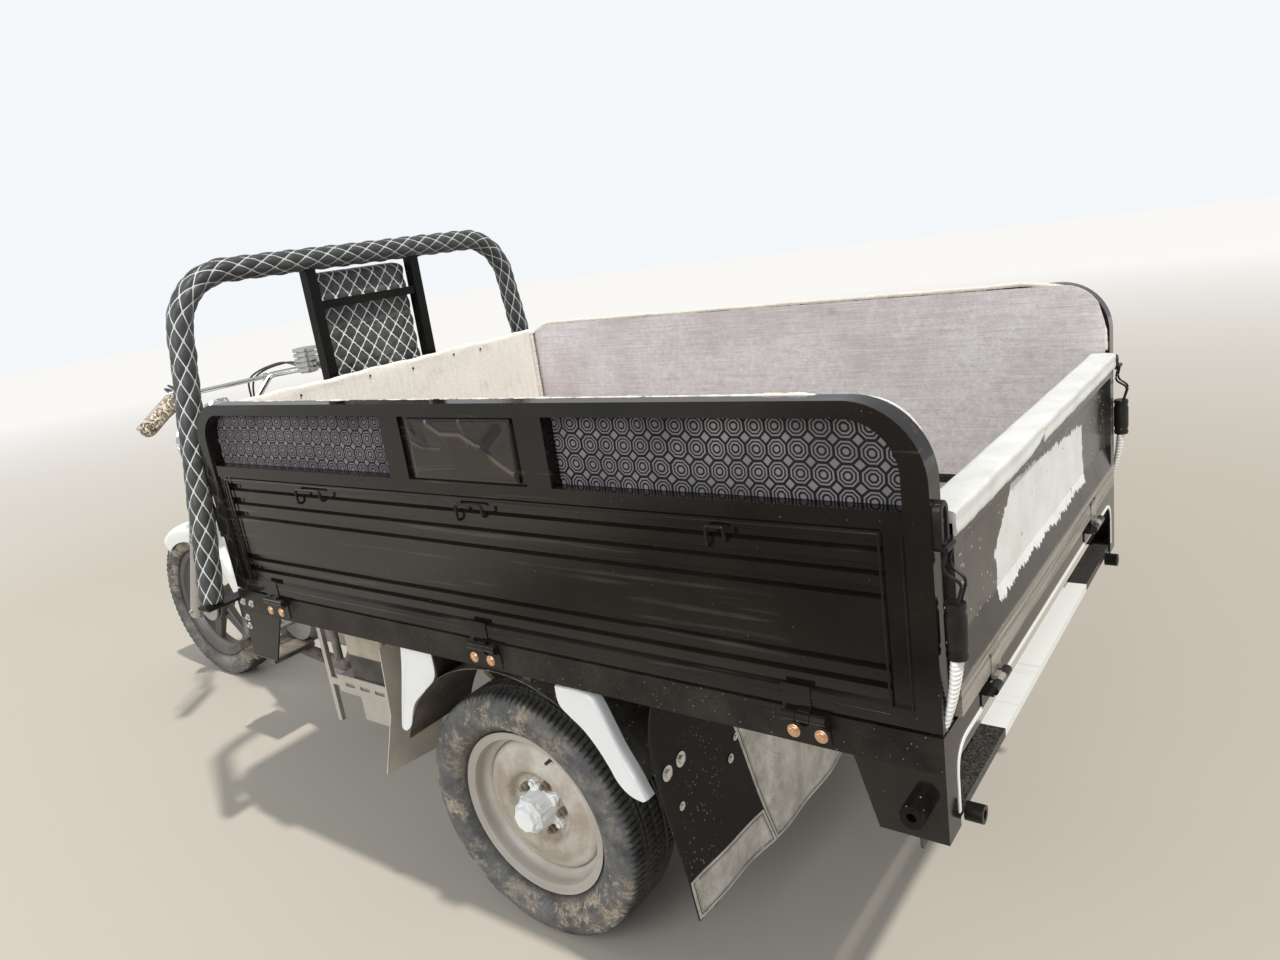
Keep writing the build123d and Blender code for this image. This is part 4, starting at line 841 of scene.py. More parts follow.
def disc_grids(sign):
    """Rim barrel and dished disc as two walls each, turned about the axle; sign is +1 on the left."""
    rim = [(0.1953, 0.060), (0.1935, 0.0575), (0.1850, 0.0570), (0.1785, 0.0545), (0.1765, 0.0400),
           (0.1745, 0.0310), (0.1640, 0.0225), (0.1600, 0.0160), (0.1598, 0.0000), (0.1600, -0.0160),
           (0.1640, -0.0225), (0.1745, -0.0310), (0.1765, -0.0400), (0.1785, -0.0545),
           (0.1850, -0.0570), (0.1953, -0.0600)]
    rim = smooth_profile(rim, 70)
    back = smooth_profile(rim[::-5] - (0.0028, 0), 30)
    disc = [(0.1588, 0.006), (0.1560, 0.016), (0.1520, 0.0235), (0.1440, 0.0275), (0.1330, 0.0300),
            (0.1150, 0.0385), (0.1020, 0.0415), (0.0920, 0.0400), (0.0850, 0.0335), (0.0800, 0.0240),
            (0.0750, 0.0185), (0.0680, 0.0170), (0.0500, 0.0170), (0.0330, 0.0170)]
    disc = smooth_profile(disc, 60)
    disc_back = disc[::-3] - (0, 0.0034)
    centre = (AX, sign * wheel_y, rear_radius)
    loops = (np.vstack([rim, back]), np.vstack([disc, disc_back]))
    return [shell(turned(loop * (1, sign), centre, 112), True, True) for loop in loops]


def nut(centre, out, radius, height, corners=6):
    """Nut or washer with a chamfered top, standing out from its seat."""
    levels = [(0, 0), (height * 0.86, 0), (height, radius * 0.18), (height, radius * 0.5)]
    across = unit(np.cross(out, (0.31, 0.17, 0.93)))
    return lozenge(ring_points(corners, radius, 0.3), levels, centre, across, np.cross(out, across), out)


def washer_bolt(centre, out, radius, height):
    """Round washer with a hexagon head on it."""
    head_seat = np.asarray(centre) + out * height * 0.2
    return [nut(centre, out, radius * 1.7, height * 0.22, 20), nut(head_seat, out, radius, height * 0.8)]


for side, sign in sides:
    made = piece("pressed_wheel_" + side, disc_grids(sign), "wheel_" + side, cream_steel,
                 40.0)
    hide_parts("rear_wheel_" + side)
    out = Y * sign
    face = np.array((AX, sign * (wheel_y + 0.0172), rear_radius))
    cap = [lozenge(ring_points(40, 0.034), [(-0.010, 0), (0.004, 0), (0.008, 0.004)], face, X, Z, out)]
    star = circle(60) * (0.047 + 0.007 * np.cos(full_turn(60) * 5))[:, None]
    cap.append(lozenge(star, [(0, 0), (0.009, 0), (0.0125, 0.0035)], face, X, Z, out))
    octagon = ring_points(8, 0.0445, math.pi / 8)
    block_levels = [(0.008, 0.0), (0.014, 0.003), (0.052, 0.004), (0.060, 0.0095), (0.0605, 0.014),
                    (0.0585, 0.016), (0.0585, 0.030)]
    cap.append(lozenge(octagon, block_levels, face, X, Z, out))
    piece("hub_cap_" + side, cap, "wheel_" + side, hub_white, 28.0)
    studs = []
    for k in range(5):
        a = 2 * math.pi * (k + 0.5) / 5
        seat = face + 0.0575 * (math.cos(a) * X + math.sin(a) * Z)
        studs += [nut(seat, out, 0.0105, 0.013), nut(seat + out * 0.012, out, 0.0058, 0.010, 14)]
    piece("wheel_nuts_" + side, studs, "wheel_" + side, raw_steel, 28.0)
    valve_seat = face + 0.146 * (math.sin(valve_angle) * Z - math.cos(valve_angle) * X) + out * 0.006
    stem = np.linspace(0, 1, 5)[:, None] * out * 0.026 + valve_seat
    stem = bar(stem, [0.0055, 0.0045, 0.0040, 0.0040, 0.0036])
    piece("tyre_valve_" + side, [stem], "wheel_" + side, rubber, 40.0)
print("rear wheels, caps, nuts and valves")

# %% [markdown]
# ## Front wheel
# The front wheel is one grey casting: five broad hollowed spokes run from a drum-braked hub to the rim.
# Each spoke is a closed bar whose width and thickness change along it, with a groove down its face.

# %% Front wheel


def cast_spoke(turn_angle):
    """Tapered spoke: a rounded box section carried from the hub to the rim, hollowed along its faces."""
    share = np.linspace(0, 1, 14)
    reach = 0.045 + share * 0.142
    half_width = 0.027 - 0.010 * share + 0.010 * (share - 0.1) ** 8 + 0.010 * np.exp(-share * 9)
    half_thick = 0.017 - 0.004 * share + 0.006 * np.exp(-share * 8)
    round_x, round_y = circle(32).T
    box_x = np.sign(round_x) * np.abs(round_x) ** 0.35
    box_y = np.sign(round_y) * np.abs(round_y) ** 0.5
    hollow = 1 - 0.45 * np.exp(-(box_x / 0.5) ** 4) * (np.abs(box_y) > 0.9)
    radial = math.cos(turn_angle) * Z + math.sin(turn_angle) * X
    side = math.cos(turn_angle) * X - math.sin(turn_angle) * Z
    grid = radial * reach[:, None, None] + side * (half_width[:, None] * box_x)[..., None]
    grid = grid + Y * (half_thick[:, None] * (box_y * hollow))[..., None]
    return closed_tube(grid + front_centre)


front_rim = [(0.2203, 0.0370), (0.2180, 0.0350), (0.2080, 0.0345), (0.2030, 0.0330), (0.2010, 0.0230),
             (0.1920, 0.0160), (0.1860, 0.0120), (0.1855, 0.0)]
front_rim = smooth_profile(front_rim, 30)
front_rim = np.vstack([front_rim, front_rim[-2::-1] * (1, -1)])
rim_back = front_rim[::-4] - (0.0045, 0)
front_parts = [shell(turned(np.vstack([front_rim, rim_back]), front_centre, 96), True, True)]
hub_profile = [(0.0105, 0.048), (0.030, 0.048), (0.034, 0.044), (0.060, 0.042), (0.070, 0.036),
               (0.070, 0.018), (0.052, 0.012), (0.046, 0.0), (0.046, -0.034), (0.034, -0.044),
               (0.0105, -0.046)]
front_parts.append(shell(turned(hub_profile, front_centre, 64), True, True))
front_parts += [cast_spoke(2 * math.pi * k / 5 + 0.2) for k in range(5)]
made = piece("cast_wheel_front", front_parts, "wheel_front", cast_alloy, 40.0)
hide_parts("front_wheel")
print("front wheel faces:", len(made.data.polygons))

# %% [markdown]
# ## Quilted vinyl
# The hoop's sleeve and the rider's backrest are foam under dark grey vinyl, quilted in diamonds with
# white thread. The seams follow whole numbers of p = a + b and q = a - b, where a counts diamonds along
# and b counts them round. Between the seams the vinyl puffs up by the square root of
# |sin(pi p) sin(pi q)|.

# %% Quilted finish


def quilted(name, dust_and_glare, thread_dark, thread_light):
    """Quilted vinyl with its own share of dust, which on the backrest pad also stands in for painted glare,
    and its own thread colours; the UV map counts diamonds.
    """
    made, tree, inputs = finish(name, None, 0.46, Sheen_Weight=0.15, Specular_IOR_Level=0.42)
    where = object_place(tree)
    cell = add(tree, "ShaderNodeUVMap").outputs[0]
    cells = add(tree, "ShaderNodeTexVoronoi", {"Vector": where, "Scale": 620.0}, feature="DISTANCE_TO_EDGE")
    wear_and_highlight = mapped(tree, noise(tree, where, 26.0, 5.0), 0.3, 0.7)
    shade = blend(tree, wear_and_highlight, rgb(0.018, 0.020, 0.021), rgb(0.034, 0.037, 0.037))
    layer = use(tree, dust, Clean=shade, Dust=rgb(0.22, 0.215, 0.20), Amount=dust_and_glare, Scale=15.0, Low=0.6,
                High=1.6)
    seam = use(tree, quilt, Vector=cell, Width=0.052)["Mask"]
    knot = use(tree, quilt, Vector=cell, Width=0.12)["Knot"]
    twist = mapped(tree, noise(tree, where, 900.0, 2.0), 0.3, 0.7, 0.75, 1.0)
    thread_tone = blend(tree, twist, thread_dark, thread_light)
    colour = blend(tree, calc(tree, "MAXIMUM", seam, knot), layer["Color"], thread_tone)
    dull = calc(tree, "MAXIMUM", seam, layer["Mask"])
    tree.links.new(colour, inputs["Base Color"])
    tree.links.new(mapped(tree, dull, 0.0, 0.7, 0.42, 0.85), inputs["Roughness"])
    relief(tree, inputs, calc(tree, "ADD", times(tree, cells.outputs["Distance"], 0.22), seam), 0.0009)
    return made


hoop_vinyl = quilted("hoop_vinyl", 0.25, rgb(0.32, 0.33, 0.33), rgb(0.56, 0.58, 0.58))
# Painted glare: the backrest pad faces the sun, so its full share of dust also stands in for glare on its
# vinyl.
glare_lit_pad_vinyl = quilted("glare_lit_pad_vinyl", 1.0, rgb(0.60, 0.62, 0.62), rgb(0.90, 0.92, 0.92))

# %% Puffed diamonds


def wobble(points, scale, seed):
    """Smooth pseudo-noise between -1 and 1: a sum of sines of the place in four turned directions."""
    rng = np.random.default_rng(seed)
    total = 0
    for k in range(5):
        direction = rng.normal(size=3)
        finer = 1 + 0.5 * k
        total = total + np.sin(points @ direction * scale * finer + rng.uniform(0, 6.28)) / finer
    return total / 2.6


def puff(a, b):
    """Height of the quilting between 0 at the seams and 1 in the middle of a diamond."""
    p, q = a + b, a - b
    return (np.abs(np.sin(math.pi * p)) * np.abs(np.sin(math.pi * q))) ** 0.42


def arc_path(points, radius, step):
    """Straight runs joined by true arcs of one radius, with points a step apart."""
    out = [points[:1]]
    for corner, coming, leaving in corners_of(points):
        angle = math.acos(float(coming @ leaving))
        start = corner - coming * radius * math.tan(angle / 2)
        inward = unit(leaving - (coming @ leaving) * coming)
        t = np.linspace(0, angle, 24)[:, None]
        out.append(start + radius * (np.sin(t) * coming + (1 - np.cos(t)) * inward))
    return resampled(np.vstack(out + [points[-1:]]), step)


hoop_low, hoop_high = box_corners("guard_hoop")
hoop_x = (hoop_low[0] + hoop_high[0]) / 2
pipe = 0.026
splay = 0.145
foot_y = hoop_high[1] - pipe * math.cos(math.atan(splay))
foot_z = 0.742
top_z = hoop_high[2] - pipe
top_y = 0.553 - splay * (top_z - 1.42) - 0.006
hoop_points = [(foot_y, foot_z), (top_y, top_z), (-top_y, top_z), (-foot_y, foot_z)]
path, run = arc_path([(hoop_x, y, z) for y, z in hoop_points], 0.150, 0.0042)
around = 60
diamonds_along = run / 0.0645 + 0.13
diamonds_round = np.linspace(0, 5, around + 1)
height = puff(diamonds_along[:, None], diamonds_round[:-1])
spot = carried(circle(around) * pipe, path, X)
radius = 0.0252 + 0.0054 * height + 0.0007 * wobble(spot, 60.0, 3) + 0.0010 * wobble(spot, 18.0, 4)
end_fade = np.clip(np.minimum(run, run[-1] - run) / 0.02, 0, 1)[:, None] ** 0.4
radius = 0.0235 + (radius - 0.0235) * end_fade
grid = carried(circle(around) * radius[..., None], path, X)
sleeve = closed_tube(grid, (np.pad(diamonds_along, 1, "edge"), diamonds_round))
sleeve = piece("hoop_sleeve", [sleeve], "chassis", hoop_vinyl, 60.0)
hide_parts("guard_hoop")

# %% Backrest pad


def pad_grid(low, high, corner_radius, step, diamond, diamonds_round, rise, seed):
    """Rounded box as rings stacked upwards; each ring is a rounded rectangle, puffed by the quilting.

    A ring's place is followed by its length t: each of its four runs is straight and then turns a
    quarter circle, so the place moves along the run while the outward direction turns only at its end.
    """
    half, centre = (high - low) / 2, (high + low) / 2
    w, d = half[:2] - corner_radius
    quarter = math.pi / 2 * corner_radius
    lengths = np.array([2 * d, quarter, 2 * w, quarter] * 2)
    ends = np.concatenate([[0], np.cumsum(lengths)])
    t = np.linspace(0, ends[-1], 4 * diamonds_round, endpoint=False)
    place, facing = np.zeros((2, len(t), 2))
    for k, start in enumerate(((w, -d), (w, d), (-w, d), (-w, -d))):
        quarter_turns = k * math.pi / 2
        on_run = (t >= ends[2 * k]) & (t < ends[2 * k + 2])
        along = t[on_run] - ends[2 * k]
        straight = np.minimum(along, lengths[2 * k])
        angle = quarter_turns + (along - straight) / corner_radius
        place[on_run] = start + straight[:, None] * (-math.sin(quarter_turns), math.cos(quarter_turns))
        facing[on_run] = np.stack([np.cos(angle), np.sin(angle)], -1)
    z = np.linspace(-1, 1, int(2 * half[2] / step))[:, None] * half[2]
    into_end = np.clip((np.abs(z) - (half[2] - corner_radius)) / corner_radius, 0, 1)
    kept = np.sqrt(1 - into_end**2)
    shrink = 1 - 0.25 * (1 - kept) * corner_radius / max(w, d)
    diamonds_up = (centre[2] + z) / diamond
    lift = rise * puff(diamonds_up, t / ends[-1] * diamonds_round) * kept - rise * 0.75
    flat = centre[:2] + place * shrink[..., None] + facing * (corner_radius * kept + lift)[..., None]
    grid = np.concatenate([flat, (centre[2] + z + 0 * lift)[..., None]], -1)
    grid += 0.0006 * wobble(grid, 55.0, seed)[..., None]
    columns = np.linspace(0, diamonds_round, len(t) + 1)
    return closed_tube(grid, (np.pad(diamonds_up[:, 0], 1, "edge"), columns))


pad_low, pad_high = box_corners("backrest_pad")
pad_shell = pad_grid(pad_low, pad_high - X * 0.002, 0.020, 0.0032, 0.0505, 16, 0.0075, 5)
pad = piece("backrest_cushion", [pad_shell], "chassis", glare_lit_pad_vinyl, 60.0)
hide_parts("backrest_pad")
print("sleeve %d faces, pad %d faces" % (len(sleeve.data.polygons), len(pad.data.polygons)))

# %% [markdown]
# ## Saddle
# The saddle is plain black vinyl over foam, with a rolled edge and cross channels pressed into it. Its
# outline follows the CAD solid: a low nose, a dished seat and a raised back.

# %% Saddle
seat_vinyl, tree, inputs = finish("seat_vinyl", None, 0.44, Sheen_Weight=0.1)
where = object_place(tree)
pebble = add(tree, "ShaderNodeTexVoronoi", {"Vector": where, "Scale": 520.0},
             feature="SMOOTH_F1").outputs["Distance"]
layer = use(tree, dust, Clean=rgb(0.018, 0.018, 0.019), Dust=rgb(0.28, 0.25, 0.21), Amount=0.5, Scale=9.0,
            Low=0.6, High=1.4)
tree.links.new(layer["Color"], inputs["Base Color"])
tree.links.new(mapped(tree, layer["Mask"], 0.0, 0.5, 0.42, 0.8), inputs["Roughness"])
relief(tree, inputs, pebble, 0.0007)
seat_low, seat_high = box_corners("rider_seat")
share = np.linspace(0, 1, 96)
cosine, sine = circle(72).T
length = seat_high[0] - seat_low[0]
crown_z = np.interp(share, [0, 0.06, 0.20, 0.38, 0.62, 0.85, 0.96, 1.0],
                    [0.060, 0.080, 0.081, 0.070, 0.058, 0.056, 0.048, 0.030])
half_y = np.interp(share, [0, 0.05, 0.25, 0.55, 0.80, 0.95, 1.0],
                   [0.188, 0.214, 0.222, 0.216, 0.190, 0.160, 0.120])
channel = np.abs(np.sin(share * 5.5 * math.pi)) ** 0.3
crown_z = crown_z - 0.004 * (1 - channel) * (share > 0.08) * (share < 0.92)
box_y = np.sign(cosine) * np.abs(cosine) ** 0.36
box_z = np.maximum(sine, 0) ** 0.55
piping = 1 + 0.014 * np.exp(-((np.abs(box_y) - 0.985) / 0.02) ** 2) * (sine > 0.05) * (sine < 0.35)
y = half_y[:, None] * box_y * piping
z = seat_low[2] + 0.0006 + crown_z[:, None] * box_z * (1 - 0.05 * (y / 0.22) ** 2)
grid = np.stack([(seat_low[0] + share * length)[:, None] + 0 * y, y, z], -1)
saddle = piece("saddle_cushion", [closed_tube(grid)], "chassis", seat_vinyl, 50.0)
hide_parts("rider_seat")

# %% [markdown]
# ## Tailgate cap
# White padded vinyl is folded over the tailgate's top edge. On the outside it hangs lower on the left
# than on the right, and it has a fold along it.

# %% Tailgate cap
cap_vinyl, tree, inputs = finish("cap_vinyl", None, 0.4, Sheen_Weight=0.1)
where = object_place(tree)
crease = noise(tree, where, 14.0, 6.0, 0.6)
base = blend(tree, mapped(tree, crease, 0.4, 0.7), rgb(0.68, 0.70, 0.69), rgb(0.60, 0.61, 0.58))
layer = use(tree, dust, Clean=base, Dust=rgb(0.45, 0.40, 0.33), Amount=0.30, Scale=20.0, Low=0.8, High=1.3)
tree.links.new(layer["Color"], inputs["Base Color"])
relief(tree, inputs, calc(tree, "ADD", crease, times(tree, noise(tree, where, 300.0, 3.0), 0.3)), 0.0010)
cap_low, cap_high = box_corners("tailgate_cap")
y = np.linspace(cap_low[1], cap_high[1], 260)
width = cap_high[0] - cap_low[0]
top = cap_high[2]
step_y = 0.085
notch = np.where(y > step_y, 0.0170 * np.exp(-(y - step_y) / 0.040), 0.0030)
hem = notch + 0.0006 * np.sin(y * 61) + 0.0005 * np.sin(y * 143)
low_z = cap_low[2] - 0.004 + hem
thick = 0.0034
outer = cap_low[0]
soft = 0.0005 * np.sin(y * 33) + 0.0003 * np.sin(y * 80 + 1)
across_top = [
    (outer + 0.0005, low_z),
    (outer - 0.0018 + soft, low_z + 0.006),
    (outer - 0.0004, (low_z + top) / 2 + 0.001),
    (outer - 0.0010 - soft, top - 0.005),
    (outer + 0.0012, top - 0.0006 + soft * 0.6),
    (outer + 0.0065, top + 0.0009 + soft * 0.6),
    (outer + width * 0.40, top + 0.0018 + soft),
    (outer + width * 0.72, top + 0.0020 - soft),
    (outer + width - 0.0060, top + 0.0008),
    (outer + width + 0.0005, top - 0.0045 + soft * 0.6),
    (outer + width + 0.001, top - 0.0155 + 0.0004 * np.sin(y * 50)),
]
at_end = np.clip((np.abs(y) - (cap_high[1] - 0.010)) / 0.004, 0, 1)[:, None, None]
grid = folded(across_top, y, 46, thick, at_end)
grid = grid + Z * (0.00025 * wobble(grid, 70.0, 9))[..., None]
cap_piece = piece("tailgate_cushion", [closed_tube(grid)], "tail", cap_vinyl, 50.0)
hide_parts("tailgate_cap")
print("cap faces:", len(cap_piece.data.polygons))

# %% [markdown]
# ## Felt, carpet and window cloth
# The headboard is lined with pale felt that is folded over its top edge. The side gates are lined with
# mauve-grey carpet, and their windows hold a printed cloth: octagons with small squares between them,
# a plain geometric lattice.

# %% Felt and carpet finishes


def felt(name, clean, wear_and_highlight, stain, stain_low, fuzz=0.0011, stretch=(7.0, 7.0, 190.0)):
    """Matted fibre: stretched noise gives thread rows, a wide noise the stains, and a fine one the nap."""
    made, tree, inputs = finish(name, None, 0.95, Sheen_Weight=0.35, Sheen_Roughness=0.6)
    where = object_place(tree)
    fibre = noise(tree, where, 260.0, 6.0, 0.75)
    matted = noise(tree, where, 60.0, 8.0, 0.7)
    cloud = mapped(tree, noise(tree, where, 4.2, 8.0, 0.62), stain_low, stain_low + 0.22)
    tone = blend(tree, mapped(tree, matted, 0.35, 0.65), clean, wear_and_highlight)
    tone = blend(tree, times(tree, cloud, 0.75), tone, stain)
    row_noise = noise(tree, scaled(tree, where, stretch), 1.0, 5.0, 0.7)
    tone = blend(tree, mapped(tree, row_noise, 0.50, 0.68, 0.0, 0.75), tone, clean)
    tone = blend(tree, mapped(tree, row_noise, 0.48, 0.34, 0.0, 0.55), tone, stain)
    smudge = mapped(tree, noise(tree, where, 11.0, 6.0, 0.65), 0.60, 0.74, 0.0, 0.40)
    tone = blend(tree, smudge, tone, rgb(0.34, 0.29, 0.27))
    shade = blend(tree, mapped(tree, fibre, 0.3, 0.7), rgb(0.74, 0.74, 0.74), rgb(1.0, 1.0, 1.0))
    shaded = add(tree, "ShaderNodeMix", {0: 1.0, 6: tone, 7: shade}, data_type="RGBA",
                 blend_type="MULTIPLY")
    tree.links.new(shaded.outputs[2], inputs["Base Color"])
    relief(tree, inputs, calc(tree, "ADD", fibre, matted), fuzz)
    return made


cream_felt = felt("cream_felt", rgb(0.97, 0.93, 0.86), rgb(0.92, 0.87, 0.79), rgb(0.76, 0.69, 0.59), 0.57,
                  stretch=(7.0, 150.0, 9.0))
mauve_carpet = felt("mauve_carpet", rgb(0.82, 0.78, 0.79), rgb(0.64, 0.59, 0.59), rgb(0.54, 0.47, 0.45),
                    0.46)
hem_felt = felt("hem_felt", rgb(0.86, 0.80, 0.72), rgb(0.74, 0.68, 0.60), rgb(0.60, 0.52, 0.43), 0.57,
                0.0015)

# %% Window cloth finish
window_cloth, tree, inputs = finish("window_cloth", None, 0.8, Specular_IOR_Level=0.2)
where = object_place(tree)
pitch = 0.034
axes = split(tree, where)


def in_cell(value, offset):
    """Distance from the middle of a lattice cell along one axis, in cells: at most one half."""
    cells_along = calc(tree, "ADD", calc(tree, "DIVIDE", value, pitch), offset)
    return calc(tree, "PINGPONG", cells_along, 0.5)


wave = times(tree, noise(tree, where, 7.0, 2.0), 0.5)
p = in_cell(axes[0], wave)
q = in_cell(axes[2], times(tree, wave, 0.6))
diagonal = times(tree, calc(tree, "ADD", p, q), math.sqrt(0.5))
octagon = calc(tree, "MAXIMUM", calc(tree, "MAXIMUM", p, q), diagonal)
white = stripes(tree, octagon, ((0.365, 0.435), (0.215, 0.290), (-0.050, 0.125)), 0.008)
to_corner = calc(tree, "SUBTRACT", 1.0, calc(tree, "ADD", p, q))
square = mapped(tree, to_corner, 0.215, 0.225, 1.0, 0.0)
in_corner = mapped(tree, to_corner, 0.285, 0.295, 1.0, 0.0)
white = times(tree, white, calc(tree, "SUBTRACT", 1.0, in_corner))
white = calc(tree, "MAXIMUM", white, square)
ink = blend(tree, noise(tree, where, 90.0, 4.0), rgb(0.006, 0.005, 0.006), rgb(0.014, 0.012, 0.013))
light = blend(tree, mapped(tree, noise(tree, where, 9.0, 6.0), 0.35, 0.65), rgb(0.26, 0.24, 0.25),
              rgb(0.15, 0.14, 0.15))
tone = blend(tree, white, ink, light)
layer = use(tree, dust, Clean=tone, Dust=rgb(0.16, 0.145, 0.12), Amount=0.12, Scale=8.0, Low=0.8, High=1.5)
tree.links.new(layer["Color"], inputs["Base Color"])
upright = add(tree, "ShaderNodeMapping", {"Vector": where, "Rotation": (math.pi / 2, 0.0, 0.0)}).outputs[0]
weave = use(tree, threads, Vector=upright, Pitch=0.0011)["Height"]
relief(tree, inputs, calc(tree, "ADD", times(tree, weave, 0.4), noise(tree, where, 30.0, 4.0)), 0.0008)

# %% Lining shapes


def lining_sheet(x0, x1, z0, z1, y_face, y_back, corners, seed, swell, steps):
    """Thin closed sheet in a side's plane: two rounded upper corners, and waves that fade at its edges."""
    u = np.linspace(0, 1, steps[0])[:, None]
    v = np.linspace(0, 1, steps[1])[None]
    x = x0 + (x1 - x0) * u + 0 * v
    rise = np.zeros(steps[0])
    for radius, from_end in zip(corners, (x[:, 0] - x0, x1 - x[:, 0])):
        inside = np.clip(radius - from_end, 0, radius)
        rise = np.maximum(rise, radius - np.sqrt(np.clip(radius**2 - inside**2, 0, None)))
    z = z0 + (z1 - rise[:, None] - z0) * v
    face = np.stack([x, y_face + 0 * x, z], -1)
    bulge = swell * (0.6 * wobble(face, 9.0, seed) + 0.4 * wobble(face, 30.0, seed + 1))
    fade = np.minimum(1, np.minimum(u, 1 - u) * 12) * np.minimum(1, (1 - v) * 8)
    face[..., 1] -= math.copysign(1.0, y_face - y_back) * np.abs(bulge) * fade
    back = face.copy()
    back[..., 1] = y_back
    return [shell(face), shell(back),
            shell(np.stack([face[0], back[0]])), shell(np.stack([face[-1], back[-1]])),
            shell(np.stack([face[:, 0], back[:, 0]])), shell(np.stack([face[:, -1], back[:, -1]]))]


# %% Felt on the headboard
board_low, board_high = box_corners("headboard_lining")
board_x = float(board_low[0])
half = float(board_high[1])
y = np.linspace(-half, half, 200)
drop = board_high[2] - board_low[2]
lift = 0.0012 * np.sin(y * 21) + 0.0010 * np.sin(y * 67 + 2)
ragged = 0.0016 * np.sin(y * 190) + 0.0012 * np.sin(y * 421 + 1)
up_and_over = [(board_x + 0.0015, board_low[2])]
for share_up in np.linspace(0.06, 0.96, 12):
    sway = 0.0014 * np.sin(y * 7 + share_up * 5) + 0.0008 * np.sin(y * 23 - share_up * 9)
    up_and_over.append((board_x + 0.0012 - np.abs(sway), board_low[2] + drop * share_up))
folded_top = board_high[2] + lift
up_and_over += [(board_x + 0.0005 + lift * 0.5, folded_top - 0.002), (board_x + 0.004, folded_top + 0.0045),
                (board_x + 0.012, folded_top + 0.0052), (board_x + 0.021 + ragged, folded_top + 0.0042)]
felt_shell = closed_tube(folded(up_and_over, y, 48, 0.0035))
board_felt = piece("headboard_felt", [felt_shell], "chassis", cream_felt, 50.0)
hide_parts("headboard_lining")

# %% Carpet and window cloths of the gates
carpet_top = 1.224
hem_points = [(bed_front - 0.030, 1.150), (bed_front - 0.040, 1.205), (bed_front - 0.095, 1.2285),
              (AX + 0.10, 1.2290), (AX - 0.70, 1.2300), (AX - 0.775, 1.2330), (AX - 0.862, 1.2200),
              (AX - 0.900, 1.1950), (AX - 0.914, 1.1720), (AX - 0.9440, 1.1250), (AX - 0.9450, 1.0750)]
windows = {"rear": (bed_rear + 0.0365, AX - 0.3175, (0.0755, 0.0), 3, 0.600),
           "front": (AX + 0.1015, bed_front - 0.0365, (0.0, 0.0695), 5, 0.649)}
for side, sign, tucked, seed in (("left", 1, 0.007, 7), ("right", -1, 0.0, 11)):
    body, frame_name = "gate_" + side, "gate_frame_" + side
    inner = sign * (bed_half - 0.0403)
    sheet = lining_sheet(bed_rear + 0.009, bed_front - 0.028, 0.774, carpet_top, inner,
                         inner - sign * 0.0055, (0.088, 0.070), seed, 0.0022, (130, 40))
    made = piece("gate_carpet_" + side, sheet, body, mauve_carpet, 50.0)
    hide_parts("gate_lining_" + side)
    rim = np.array([(x, sign * (bed_half - 0.0385), z - tucked) for x, z in hem_points])
    rim, _ = resampled(rounded_path(rim, 0.012), 0.0030)
    rim = rim + Z * (0.0010 * wobble(rim, 45.0, 51))[:, None]
    rough_edge = 0.0054 + 0.0010 * wobble(rim, 160.0, 52) + 0.0006 * wobble(rim, 420.0, 53)
    hem = piece("carpet_hem_" + side, [bar(rim, rough_edge, Y, 12)], body, hem_felt, 50.0)
    cloth_y = sign * (bed_half - 0.030)
    for window, (start, end, corners, window_seed, length) in windows.items():
        cloth = lining_sheet(start, end, 1.0805, 1.2025, cloth_y, cloth_y - sign * 0.0018, corners,
                             window_seed, 0.0015, (90, 24))
        made = piece("window_cloth_" + window + "_" + side, cloth, body, window_cloth, 50.0)

# %% Rolled side edges of the felt
edge_x, edge_y = board_x - 0.004, 0.005 - half
edge_line = np.linspace((edge_x, edge_y, board_high[2] - 0.004), (edge_x, edge_y, 0.790), 160)
edge_line = edge_line + 0.0010 * wobble(edge_line, 50.0, 61)[:, None] * X
rolled = [bar(edge_line, 0.0060 + 0.0012 * wobble(edge_line, 140.0, 62), Y, 12)]
rolled_edges = piece("felt_edges", rolled + mirrored(rolled), "chassis", hem_felt, 50.0)
print("linings, hems and window cloths done")

# %% [markdown]
# ## Film, latches, hooks and bolts
# The white film on the tailgate is torn at its edges, so it is a mask that two finishes share. A mask
# is built as a distance: the smallest of the distances to its edges, shaken by noise, is positive inside.

# %% Torn white film on the tailgate
torn, _, result = new_group("torn_film", {}, {"Mask": "Float"})
where = object_place(torn)
x, y, z = split(torn, where)
slant = times(torn, calc(torn, "SUBTRACT", 1.007, z), 1.25)
left_edge = calc(torn, "MINIMUM", calc(torn, "ADD", slant, 0.235), 0.330)
to_left = calc(torn, "SUBTRACT", left_edge, y)
to_right = calc(torn, "ADD", y, 0.285)
to_bottom = calc(torn, "SUBTRACT", z, 0.853)
to_top = calc(torn, "SUBTRACT", calc(torn, "MULTIPLY_ADD", y, 0.065, 0.997), z)
to_sides = calc(torn, "MINIMUM", to_left, to_right)
nearest = calc(torn, "MINIMUM", to_sides, calc(torn, "MINIMUM", to_bottom, to_top))
streaks = noise(torn, scaled(torn, where, (20.0, 75.0, 9.0)), 1.0, 4.0, 0.7)
tears = calc(torn, "ADD", streaks, noise(torn, where, 24.0, 8.0, 0.7))
shaken = calc(torn, "ADD", nearest, times(torn, calc(torn, "SUBTRACT", tears, 1.0), 0.036))
holes = mapped(torn, noise(torn, where, 38.0, 6.0, 0.7), 0.66, 0.67, 1.0, 0.0)
outside = mapped(torn, x, AX - 0.9505, AX - 0.9490, 1.0, 0.0)
torn.links.new(times(torn, mapped(torn, shaken, 0.0, 0.002), holes, outside), result["Mask"])


